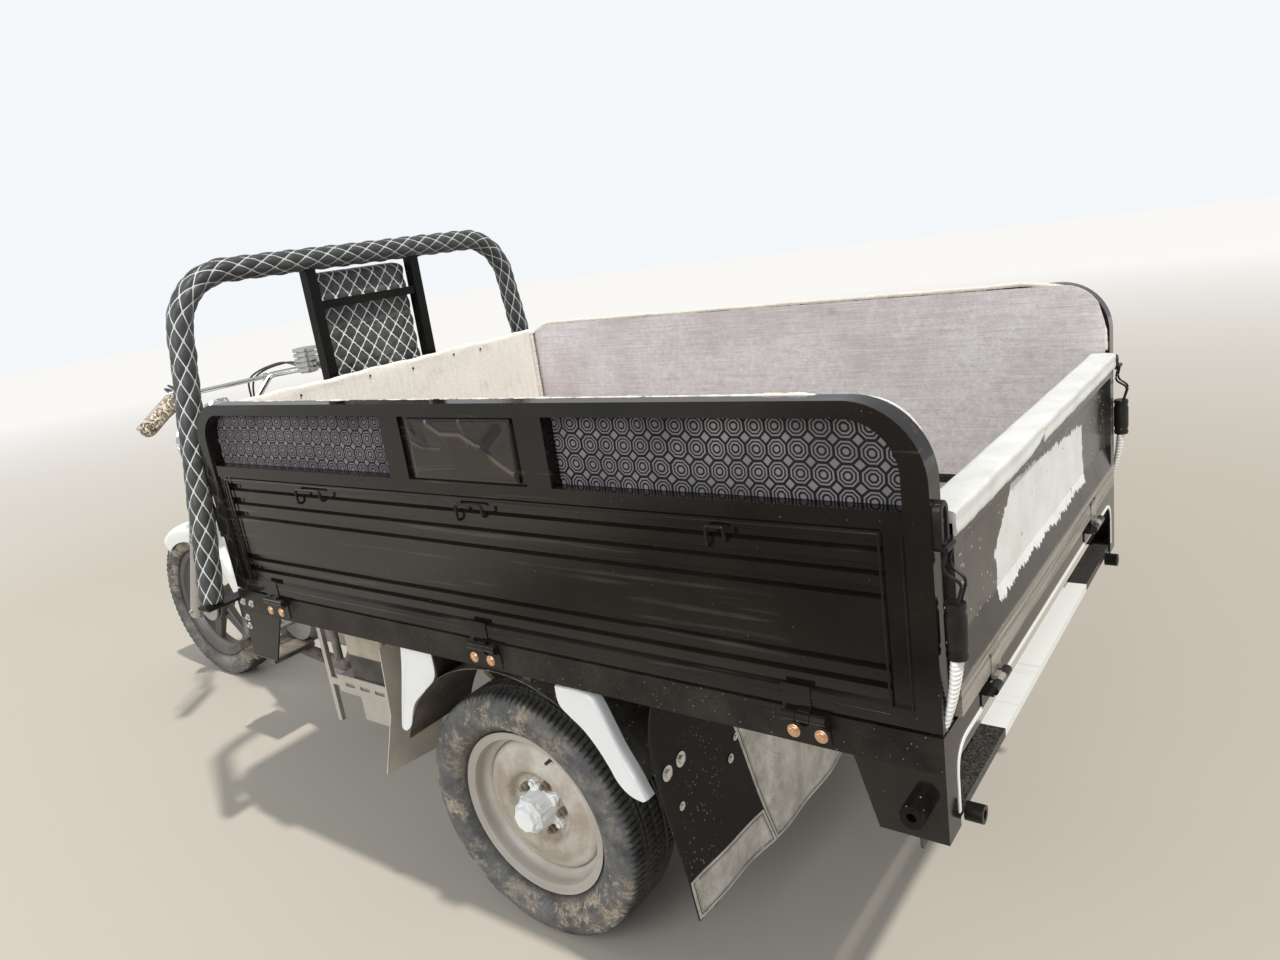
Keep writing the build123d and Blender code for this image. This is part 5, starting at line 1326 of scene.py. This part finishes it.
def with_film(base, name):
    """A copy of a finish with a wiped band, a dark ledge and the torn white film over it."""
    made = base.copy()
    made.name = name
    tree, inputs, below = reworked(made)
    where = object_place(tree)
    height = split(tree, where)[2]
    band = times(tree, mapped(tree, height, 0.812, 0.822, 1.0, 0.0), mapped(tree, height, 0.752, 0.760))
    wiped = mapped(tree, noise(tree, scaled(tree, where, (9.0, 3.0, 150.0)), 1.0, 6.0, 0.7), 0.36, 0.60)
    below = blend(tree, times(tree, band, wiped), below, rgb(0.34, 0.31, 0.27))
    ledge = stripes(tree, height, ((0.821, 0.869),), 0.003)
    below = blend(tree, times(tree, ledge, 0.75), below, rgb(0.012, 0.011, 0.010))
    stained = mapped(tree, noise(tree, where, 14.0, 8.0, 0.7), 0.35, 0.75)
    white = blend(tree, stained, rgb(0.78, 0.80, 0.79), rgb(0.62, 0.62, 0.59))
    share = use(tree, torn)["Mask"]
    tree.links.new(blend(tree, share, below, white), inputs["Base Color"])
    dull = inputs["Roughness"].links[0].from_socket
    tree.links.new(calc(tree, "MAXIMUM", dull, times(tree, share, 0.45)), inputs["Roughness"])
    return made


wear("tailgate_panel", with_film(tail_black, "tail_panel_film"))
wear("tailgate_frame", with_film(tail_black, "tail_frame_film"))
print("torn film on the tailgate")

# %% Dark ends of the bumper
tree, inputs, below = reworked(bumper_white)
where = object_place(tree)
dark_end = mapped(tree, calc(tree, "ABSOLUTE", split(tree, where)[1]), 0.309, 0.311)
spots = mapped(tree, noise(tree, where, 330.0, 5.0, 0.7), 0.45, 0.70)
spotted = blend(tree, spots, rgb(0.014, 0.013, 0.012), rgb(0.13, 0.12, 0.11))
tree.links.new(blend(tree, dark_end, below, spotted), inputs["Base Color"])
print("bumper ends are dark")

# %% Pale lid of the battery box
battery_finish = black_plastic.copy()
battery_finish.name = "battery_plastic"
tree, inputs, below = reworked(battery_finish)
where = object_place(tree)
stained = mapped(tree, noise(tree, where, 11.0, 7.0, 0.65), 0.35, 0.7)
lid = blend(tree, stained, rgb(0.46, 0.41, 0.33), rgb(0.26, 0.215, 0.165))
on_lid = mapped(tree, split(tree, where)[2], 0.538, 0.542)
tree.links.new(blend(tree, on_lid, below, lid), inputs["Base Color"])
wear("battery_box", battery_finish)
print("battery lid is pale")

# %% [markdown]
# ## Mud flap behind the rear wheels
# One rubber sheet hangs across the whole width. Bare silver plates are screwed along its lower edge.
# The sheet and the plates use the same function for how far a point stands behind the bed, so the
# plates follow the sheet's waves.

# %% Mud flap sheet
flap_x = AX - 0.446


def flap_point(y, z, outward=0.0):
    """A point of the hanging sheet: x is the flap's plane minus a wave that grows downwards."""
    low = np.clip((0.74 - z) / 0.53, 0, 1)
    wave = 0.007 * np.sin(y * 9.0 + 0.6) * low + 0.003 * np.sin(y * 27.0 + z * 9.0) * low**2 + 0.004 * low**2
    return np.stack([flap_x - wave - outward, y, z], -1)


down, across = 48, 128
edge = [(0.5617, 0.741), (0.600, 0.650), (0.600, 0.560), (0.575, 0.430), (0.547, 0.311), (0.532, 0.215)]
edge = smooth_profile(edge, down)
share = np.linspace(-1, 1, across)
y = edge[:, None, 0] * share
lower = 0.0025 * np.sin(share * 31) + 0.002 * np.sin(share * 77 + 1)
z = edge[:, None, 1] - lower * np.linspace(0, 1, down)[:, None] ** 4
face, back = flap_point(y, z, 0.002), flap_point(y, z, -0.002)
flap = piece("rubber_flap", plate(face, back), "chassis", flap_rubber, 50.0)
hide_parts("rear_mud_flap")

# %% Silver plates on the flap


def silver_finish(name, half_width, half_height):
    """Bare rolled sheet with a double dark line along its edges. Its UV map is metres from the middle."""
    made, tree, inputs = finish(name, None, 0.34, 0.55)
    place = split(tree, add(tree, "ShaderNodeTexCoord").outputs["UV"])
    to_side = calc(tree, "SUBTRACT", half_width, calc(tree, "ABSOLUTE", place[0]))
    to_end = calc(tree, "SUBTRACT", half_height, calc(tree, "ABSOLUTE", place[1]))
    inward = calc(tree, "MINIMUM", to_side, to_end)
    line = stripes(tree, inward, ((0.0065, 0.0090), (0.0115, 0.0125)), 0.0004)
    dust_and_glare = mapped(tree, noise(tree, object_place(tree), 16.0, 8.0, 0.65), 0.38, 0.72)
    steel = blend(tree, dust_and_glare, rgb(0.68, 0.68, 0.66), rgb(0.36, 0.34, 0.30))
    spots = use(tree, specks, Scale=120.0, Share=0.3)["Mask"]
    steel = blend(tree, spots, steel, rgb(0.30, 0.26, 0.21))
    tree.links.new(blend(tree, line, steel, rgb(0.02, 0.02, 0.02)), inputs["Base Color"])
    tree.links.new(mapped(tree, dust_and_glare, 0.0, 1.0, 0.34, 0.7), inputs["Roughness"])
    return made


def flap_plate(name, corners, half_size, material, steps):
    """Thin plate on the sheet: its (y, z) corners are joined by straight lines both ways."""
    u, v = np.meshgrid(*(np.linspace(0, 1, count) for count in steps), indexing="ij")
    corners = np.array(corners)[:, :, None, None]
    top = corners[0] * (1 - u) + corners[1] * u
    bottom = corners[3] * (1 - u) + corners[2] * u
    y, z = top * (1 - v) + bottom * v
    uv = [np.linspace(-half, half, count) for half, count in zip(half_size, steps)]
    shells = plate(flap_point(y, z, 0.0034), flap_point(y, z, 0.0018), uv)
    piece(name, shells, "chassis", material, 40.0)


strip_half, middle_half = (0.136, 0.046), (0.31, 0.22)
strip_finish = silver_finish("silver_strip", *strip_half)
middle_finish = silver_finish("silver_middle", *middle_half)
strip = np.array([(0.545, 0.309), (0.279, 0.295), (0.251, 0.206), (0.532, 0.219)])
middle_corners = [(0.385, 0.650), (-0.385, 0.650), (-0.249, 0.207), (0.249, 0.207)]
for side, sign in sides:
    flap_plate("flap_strip_" + side, strip * (sign, 1), strip_half, strip_finish, (70, 30))
flap_plate("flap_middle_plate", middle_corners, middle_half, middle_finish, (84, 50))

# %% Flap screws
screws = []
for spot_y, spot_z, size in (
    (0.526, 0.559, 0.0085), (0.570, 0.557, 0.0085), (0.540, 0.471, 0.0050), (0.370, 0.468, 0.0055),
    (0.346, 0.502, 0.0045), (0.525, 0.298, 0.0035), (0.300, 0.215, 0.0035), (0.230, 0.222, 0.0035),
):
    spot = flap_point(np.array(spot_y), np.array(spot_z), 0.0030)
    screws += washer_bolt(spot, -X, size, size * 0.8)
piece("flap_screws", screws + mirrored(screws), "chassis", bolt_zinc, 30.0)
print("flap plates and screws")

# %% [markdown]
# ## Gate latches
# Each latch is a slotted strap with a pin, two bent bail wires, a round toggle body and a ribbed white
# handle. The wires are bars carried along a bent path; the handle is a ring whose size goes up and down.

# %% Latches


def latch(end_x, outward, strap_top, body_low, body_high, tip_z):
    """Shells of one latch: end_x is the gate's end face and outward the direction away from it."""
    out = X * outward
    origin = np.array((end_x, 0.584, 0.0))
    strap_low, strap_radius, pin_z = 1.026, 0.0150, 1.034
    half = (strap_top - strap_low) / 2
    oval = circle(28) * strap_radius
    oval[:, 1] += np.sign(oval[:, 1]) * (half - strap_radius)
    levels = [(-0.001, 0), (0.0105, 0), (0.0120, 0.0015), (0.0120, 0.0075), (0.0085, 0.0085)]
    black = [lozenge(oval, levels, origin + Z * (strap_low + half), Y, Z, out)]
    pin = origin + out * 0.015 + Z * pin_z
    black.append(bar(np.linspace(pin - Y * 0.016, pin + Y * 0.016, 4), 0.0045, Z))
    for step in (-0.0125, 0.0125):
        wire = [(0.015, step, pin_z), (0.009, step * 1.1, pin_z - 0.030),
                (0.033, step * 0.7, body_high + 0.030),
                (0.022, step * 0.7, body_high - 0.006)]
        wire = [origin + out * away + Y * aside + Z * height for away, aside, height in wire]
        black.append(bar(resampled(rounded_path(wire, 0.010), 0.003)[0], 0.0022))
    profile = [(0.004, 0.0), (0.0140, 0.001), (0.0150, 0.006), (0.0130, 0.010), (0.0150, 0.015),
               (0.0150, 0.050), (0.0132, 0.055), (0.0150, 0.060), (0.0140, 0.0645), (0.005, 0.065)]
    profile = np.array(profile) * (1, (body_high - body_low) / 0.065)
    body = origin + out * 0.0185 + Z * body_low
    ring = circle(28)
    rows = [body + Z * rise + (ring[:, :1] * X + ring[:, 1:] * Y) * radius for radius, rise in profile]
    black.append(closed_tube(np.array(rows)))
    t = np.linspace(0, 1, 90)
    top = body + Z * 0.006
    tip = origin + out * (-0.006 if outward < 0 else 0.004) + Z * tip_z
    spine = top * (1 - t)[:, None] + tip * t[:, None] + out * (0.004 * np.sin(t * math.pi))[:, None]
    ribs = 0.0006 * np.sin(t * 2 * math.pi * 17)
    wide = np.interp(t, [0, 0.08, 0.9, 1], [0.0110, 0.0150, 0.0085, 0.0060]) + ribs
    deep = np.interp(t, [0, 0.1, 0.9, 1], [0.0060, 0.0080, 0.0045, 0.0030]) + ribs
    white = [closed_tube(carried(ring * np.stack([wide, deep], -1)[:, None], spine, out))]
    return black, white


handle_white = dusty("handle_white", rgb(0.78, 0.78, 0.76), 0.15, 0.3, scale=20.0)
for side, sign, strap_top in (("left", 1, 1.095), ("right", -1, 1.060)):
    black, white = latch(bed_rear, -1, strap_top, 0.878, 0.958, 0.764)
    front_black, front_white = latch(bed_front, 1, strap_top, 0.897, 0.968, 0.782)
    black, white = on_side(black + front_black, sign), on_side(white + front_white, sign)
    made = piece("latch_metal_" + side, black, "gate_" + side, latch_steel, 40.0)
    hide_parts("gate_latches_" + side)
    piece("latch_handle_" + side, white, "gate_" + side, handle_white, 50.0)
print("latches done")

# %% [markdown]
# ## Rope hooks, hinge bolts and trim
# Small things repeat along the bed. The hooks, bolts and panel lips are drawn once, on the left, and the
# right side has their mirror image. The hooks are bent wire, and the hinge bolts and staples are stacks
# of shrinking outlines.

# %% Rope hooks
hooks = []
for first, last in ((0.431, 0.344), (-0.074, -0.142), (-0.616, -0.647)):
    legs = [(first, 0.588, 1.006), (first, 0.6025, 1.009), (first, 0.6025, 1.040), (last, 0.6025, 1.040),
            (last, 0.6025, 1.020), (last, 0.588, 1.017)]
    path = rounded_path(np.array(legs) + (AX, 0, 0), 0.004)
    hooks.append(bar(resampled(path, 0.0025)[0], 0.0028, (0.31, 0.17, 0.93)))
for side, sign in sides:
    piece("rope_hooks_" + side, on_side(hooks, sign), "gate_" + side, gloss_black, 40.0)
print("rope hooks:", len(hooks), "a side")

# %% Hinge and leg bolts
slot_outline = np.array([(-0.0075, -0.0007), (0.0075, -0.0007), (0.0075, 0.0007), (-0.0075, 0.0007)])
washer_levels = [(0, 0), (0.0012, 0), (0.0016, 0.0006)]
head_levels = [(0, 0), (0.0026, 0.0006), (0.0036, 0.0026), (0.0038, 0.0045)]
slot_levels = [(0.0034, 0), (0.0042, 0.0001)]
bolts = []
for centre_x in (0.606, -0.085, -0.760):
    for shift in (-0.022, 0.022):
        spot = np.array((AX + centre_x + shift, 0.6190, 0.737))
        bolts += [lozenge(ring_points(24, 0.0105), washer_levels, spot, X, Z, Y),
                  lozenge(ring_points(24, 0.0082), head_levels, spot, X, Z, Y),
                  lozenge(slot_outline, slot_levels, spot, X * 0.8 + Z * 0.6, Z * 0.8 - X * 0.6, Y)]
piece("hinge_bolts", bolts + mirrored(bolts), "chassis", bolt_gold, 30.0)
leg_bolts = []
for bolt_x, bolt_z in ((0.778, 0.732), (0.742, 0.731), (0.775, 0.690), (0.775, 0.668)):
    leg_bolts += washer_bolt(np.array((AX + bolt_x, bed_half, bolt_z)), Y, 0.0055, 0.006)
piece("leg_bolts", leg_bolts + mirrored(leg_bolts), "chassis", bolt_zinc, 30.0)
print("hinge and leg bolts done")

# %% Staples in the headboard's felt
staple_levels = [(0, 0), (0.0010, 0.0004), (0.0014, 0.0022)]
staples = []
for staple_y, below_top in ((-0.31, 0.016), (-0.20, 0.012), (-0.04, 0.022), (0.11, 0.013), (0.33, 0.018)):
    spot = np.array((board_x - 0.0022, staple_y, board_high[2] - below_top))
    staples.append(lozenge(ring_points(16, 0.0034), staple_levels, spot, Y, Z, -X))
piece("felt_staples", staples, "chassis", latch_steel, 30.0)

# %% Lips round the gate panels
lip_rear, lip_front, lip_low, lip_high = -0.883, 0.714, 0.786, 1.049
lip_lines = [((x0, x1, z0, z1), 0.0004, 0.0017) for x0, x1, z0, z1 in (
    (lip_rear, lip_front, lip_low, lip_low), (lip_front, lip_front, lip_low, lip_high),
    (lip_front, lip_rear, lip_high, lip_high), (lip_rear, lip_rear, lip_high, lip_low))]
lip_lines += [((x, x, lip_low, 1.047), 0.0002, 0.0012) for x in (-0.914, 0.745)]
lips = []
for (x0, x1, z0, z1), sunk, thickness in lip_lines:
    line = np.linspace((AX + x0, bed_half - sunk, z0), (AX + x1, bed_half - sunk, z1), 8)
    lips.append(bar(line, thickness, Y, 10))
for side, sign in sides:
    piece("panel_lips_" + side, on_side(lips, sign), "gate_" + side, gloss_black, 40.0)

# %% White trim of the rear skirt
flat_bar = np.array([(-0.0035, -0.0010), (0.0035, -0.0010), (0.0035, 0.0010), (-0.0035, 0.0010)])
path = rounded_path([(-0.5555, 0.622), (-0.5555, 0.7235), (0.5555, 0.7235), (0.5555, 0.622)], 0.050, 14)
path = np.insert(path, 0, AX - 0.9545, axis=1)
trim = closed_tube(carried(np.repeat(flat_bar, 2, 0), path, X))
piece("skirt_trim", [trim], "chassis", trim_white, 30.0)
print("lips and trim done")

# %% [markdown]
# ## Puckered film on the badge plates
# Dark film has shrunk on the plate between each gate's windows. Its creases are lines in the plate's plane,
# each raised to a ridge or sunk to a valley, and the same heights colour it through an attribute: painted
# shade darkens the valleys and a painted highlight lightens the ridges.

# %% Puckered film
film_finish, tree, inputs = finish("puckered_film", None, 0.12)
rise = add(tree, "ShaderNodeAttribute", attribute_name="crease").outputs["Fac"]
# Painted shade in the valleys and a painted highlight on the ridges, both read from the crease heights.
valley = blend(tree, mapped(tree, rise, 0.16, 0.50), rgb(0.002, 0.0016, 0.0012), rgb(0.020, 0.016, 0.012))
wear_and_highlight = blend(tree, mapped(tree, rise, 0.55, 0.90), valley, rgb(0.085, 0.066, 0.050))
layer = use(tree, dust, Clean=wear_and_highlight, Dust=rgb(0.20, 0.165, 0.125), Amount=0.12, Scale=9.0)
tree.links.new(layer["Color"], inputs["Base Color"])
creases = [
    (0.0030, [(-0.033, 1.189), (-0.067, 1.170), (-0.118, 1.169), (-0.161, 1.146), (-0.202, 1.119),
              (-0.233, 1.102)]),
    (0.0022, [(0.030, 1.158), (-0.010, 1.143), (-0.059, 1.141)]),
    (-0.0018, [(-0.229, 1.190), (-0.171, 1.148)]),
    (-0.0020, [(0.000, 1.128), (-0.100, 1.122), (-0.170, 1.130)]),
    (0.0012, [(0.010, 1.100), (-0.090, 1.106)]),
    (0.0014, [(-0.120, 1.195), (-0.135, 1.150)]),
    (-0.0022, [(-0.215, 1.180), (-0.180, 1.152)]),
    (-0.0018, [(0.010, 1.185), (-0.020, 1.160)]),
]
base_height = 0.0016
plate_x = np.linspace(-0.243, 0.027, 114)
plate_z = np.linspace(1.0835, 1.1975, 54)
gx, gz = np.meshgrid(plate_x, plate_z, indexing="ij")


def pucker(x, z):
    """Height of the film: a low swell, raised to a ridge or sunk to a valley near each crease line."""
    high = 0.0009 * wobble(np.stack([x, 0 * x, z], -1), 45.0, 21)
    for rise, line in creases:
        for (x0, z0), (x1, z1) in zip(line, line[1:]):
            length = math.hypot(x1 - x0, z1 - z0)
            along = np.clip(((x - x0) * (x1 - x0) + (z - z0) * (z1 - z0)) / length**2, 0, 1)
            away = np.hypot(x - x0 - along * (x1 - x0), z - z0 - along * (z1 - z0))
            if rise > 0:
                high = np.maximum(high, rise * np.exp(-(away / 0.0042) ** 1.5))
            else:
                high = high + rise * np.exp(-(away / 0.0130) ** 2)
    return high


swell = pucker(gx, gz)
from_edge = np.minimum(np.minimum(gx - plate_x[0], plate_x[-1] - gx),
                       np.minimum(gz - plate_z[0], plate_z[-1] - gz))
swell = (swell + base_height) * np.clip(from_edge / 0.006, 0, 1)
face = np.stack([gx + AX, bed_half - 0.0069 + swell, gz], -1)
back = np.stack([gx + AX, np.full(gx.shape, bed_half - 0.0078), gz], -1)
film = plate(face, back)
for side, sign in sides:
    made = piece("badge_film_" + side, on_side(film, sign), "gate_" + side, film_finish,
                 60.0)
    spots = np.zeros(len(made.data.vertices) * 3, np.float32)
    made.data.vertices.foreach_get("co", spots)
    spots = spots.reshape(-1, 3)
    share = (pucker(spots[:, 0] - AX, spots[:, 2]) + base_height) / 0.0046
    made.data.attributes.new("crease", "FLOAT", "POINT").data.foreach_set("value", share.astype(np.float32))
print("badge films done")

# %% [markdown]
# ## Fender ends
# The white moulded pieces before and behind each rear wheel are drawn between two curves in the side's
# plane: the edge next to the tyre and the ridge. Past the ridge the surface turns inwards as a flange.

# %% Fender ends


def fender_end(tyre_edge, ridge_line, steps=70):
    """Closed moulding: straight lines from the tyre's edge to the ridge, with a groove, then a flange."""
    low = smooth_profile(tyre_edge, steps)
    ridge = smooth_profile(ridge_line, steps)
    away = ridge - low
    away /= np.maximum(np.linalg.norm(away, axis=1, keepdims=True), 1e-6)
    shares = np.array([0, 0.02, 0.3, 0.6, 0.70, 0.76, 0.79, 0.84, 0.90, 0.96, 1.0])
    lift = np.array([-1.4, 0, 0.6, 1.0, 0.9, -0.4, -0.4, 0.9, 2.0, 1.6, 0.0]) * 0.001
    flange = ((0.0022, 0.5838), (0.0030, 0.578), (0.0030, 0.566), (0.0005, 0.566), (0.0004, 0.578),
              (-0.0010, 0.5832))
    lines = [(low + (ridge - low) * share, 0.5872 + out) for share, out in zip(shares, lift)]
    lines += [(ridge + away * step_out, y) for step_out, y in flange]
    lines += [(low + (ridge - low) * share, 0.5836) for share in (0.90, 0.5, 0.02)]
    ring = np.array([np.insert(line, 1, y, axis=1) for line, y in lines])
    return closed_tube(ring.transpose(1, 0, 2) + X * AX)


rear_low = [(-0.229, 0.690), (-0.229, 0.666), (-0.235, 0.649), (-0.254, 0.633), (-0.282, 0.612),
            (-0.309, 0.581), (-0.331, 0.546), (-0.343, 0.523), (-0.359, 0.506), (-0.377, 0.497),
            (-0.397, 0.494)]
rear_ridge = [(-0.231, 0.6935), (-0.259, 0.694), (-0.287, 0.692), (-0.311, 0.686), (-0.325, 0.672),
              (-0.343, 0.633), (-0.363, 0.587), (-0.386, 0.546), (-0.400, 0.516), (-0.408, 0.501)]
front_low = [(0.112, 0.7065), (0.116, 0.645), (0.158, 0.603), (0.205, 0.560), (0.232, 0.505),
             (0.252, 0.486)]
front_ridge = [(0.206, 0.7065), (0.212, 0.680), (0.222, 0.640), (0.243, 0.572), (0.262, 0.508),
               (0.264, 0.490)]
ends = [fender_end(rear_low, rear_ridge), fender_end(front_low, front_ridge)]
made = piece("fender_mouldings", ends + mirrored(ends), "chassis", white_plastic, 40.0)
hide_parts("fender_ends")
print("fender ends done")

# %% Front fender
wheel_x, wheel_z = AX + 2.149, 0.303
skin = smooth_profile([(0.2650, 0.0665), (0.2950, 0.0672), (0.3130, 0.0650), (0.3245, 0.0565),
                       (0.3300, 0.0400), (0.3322, 0.0200), (0.3328, 0.0)], 26)
skin = np.vstack([skin, (skin * (1, -1))[::-1][1:]])
slope = np.gradient(skin, axis=0)
inward = np.stack([-slope[:, 1], slope[:, 0]], -1) / np.linalg.norm(slope, axis=1, keepdims=True)
inward *= np.sign(np.sum(inward * ((0.25, 0.0) - skin), 1, keepdims=True))
loop = np.vstack([skin, (skin + inward * 0.0024)[::-1]])
turn_angle = np.radians(np.linspace(-77.0, 37.5, 96))[:, None]
grid = np.stack([wheel_x + loop[:, 0] * np.sin(turn_angle), loop[:, 1] + 0 * turn_angle,
                 wheel_z + loop[:, 0] * np.cos(turn_angle)], -1)
fender_skin = piece("fender_skin", [closed_tube(grid)], "steering", white_paint, 40.0)
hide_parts("front_fender")

# %% [markdown]
# ## Handlebar
# The grips wear fuzzy patterned covers. A crossbar, a finned silver housing and cables finish the bar.

# %% Grip covers
grip_cloth, tree, inputs = finish("grip_cloth", None, 0.95, Sheen_Weight=0.5)
where = object_place(tree)
tufts = noise(tree, where, 95.0, 3.0, 0.6)
tone = blend(tree, mapped(tree, tufts, 0.47, 0.53), rgb(0.70, 0.62, 0.48), rgb(0.20, 0.145, 0.09))
tone = blend(tree, mapped(tree, noise(tree, where, 140.0, 2.0, 0.5), 0.56, 0.60), tone,
             rgb(0.02, 0.016, 0.012))
tree.links.new(tone, inputs["Base Color"])
relief(tree, inputs, noise(tree, where, 420.0, 5.0, 0.7), 0.0016)
grip_inner = np.array((AX + 1.505, 0.272, 1.176))
grip_outer = np.array((AX + 1.430, 0.420, 1.112))
t = np.linspace(0.06, 1.07, 110)[:, None]
core = grip_inner * (1 - t) + grip_outer * t
spot = carried(circle(64) * 0.025, core, Z)
shape = np.interp(t[:, 0], [0.06, 0.10, 0.5, 0.95, 1.03, 1.07],
                  [0.018, 0.026, 0.0235, 0.0245, 0.021, 0.012])[:, None]
fuzz = shape + 0.0014 * wobble(spot, 210.0, 31) + 0.0010 * wobble(spot, 420.0, 32)
cover = [closed_tube(carried(circle(64) * fuzz[..., None], core, Z))]
made = piece("grip_covers", cover + mirrored(cover), "steering", grip_cloth, 60.0)
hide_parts("hand_grips")

# %% Crossbar, housing and cables
bar_place = np.array((AX + 1.700, 0, 1.160))
cross = []
for low_y, high_y, radius, corners in ((-0.166, 0.166, 0.008, 16), (-0.160, -0.140, 0.0125, 24),
                                       (0.140, 0.160, 0.0125, 24)):
    cross.append(bar(bar_place + np.linspace(low_y, high_y, 4)[:, None] * Y, radius, X, corners))
piece("crossbar", cross, "steering", chrome, 40.0)
rounded = circle(32)
rounded = np.sign(rounded) * np.abs(rounded) ** 0.45 * (0.044, 0.031)
along_bar = np.array((0.45, -0.89, 0.0))
across_bar = np.array((0.89, 0.45, 0.0))
housing = []
for k in range(5):
    centre = np.array((AX + 1.545, -0.232, 1.163 + 0.0175 * k))
    housing.append(lozenge(rounded, [(0, 0.0015), (0.0015, 0), (0.0105, 0), (0.0120, 0.0015)], centre,
                           along_bar, across_bar, Z))
    housing.append(lozenge(rounded * 0.72, [(-0.006, 0), (0.002, 0)], centre, along_bar, across_bar, Z))
piece("finned_housing", housing, "steering", fork_alloy, 30.0)
cables = []
for start_y, end_y, start_z, low in ((0.235, 0.050, 1.185, 0.03), (-0.215, -0.050, 1.180, 0.02),
                                     (0.250, 0.030, 1.176, 0.07), (-0.245, -0.020, 1.176, 0.06)):
    knots = [(1.560, start_y, start_z), (1.660, start_y * 0.9, start_z + 0.020),
             (1.760, start_y * 0.6, start_z - 0.020),
             (1.805, (start_y + end_y) * 0.5, 1.080 - low), (1.835, end_y, 0.990), (1.850, end_y, 0.955)]
    path = smooth_profile(np.array(knots) + (AX, 0, 0), 90)
    cables.append(bar(resampled(path, 0.006)[0], 0.0034))
piece("bar_cables", cables, "steering", black_plastic, 50.0)
print("handlebar done")
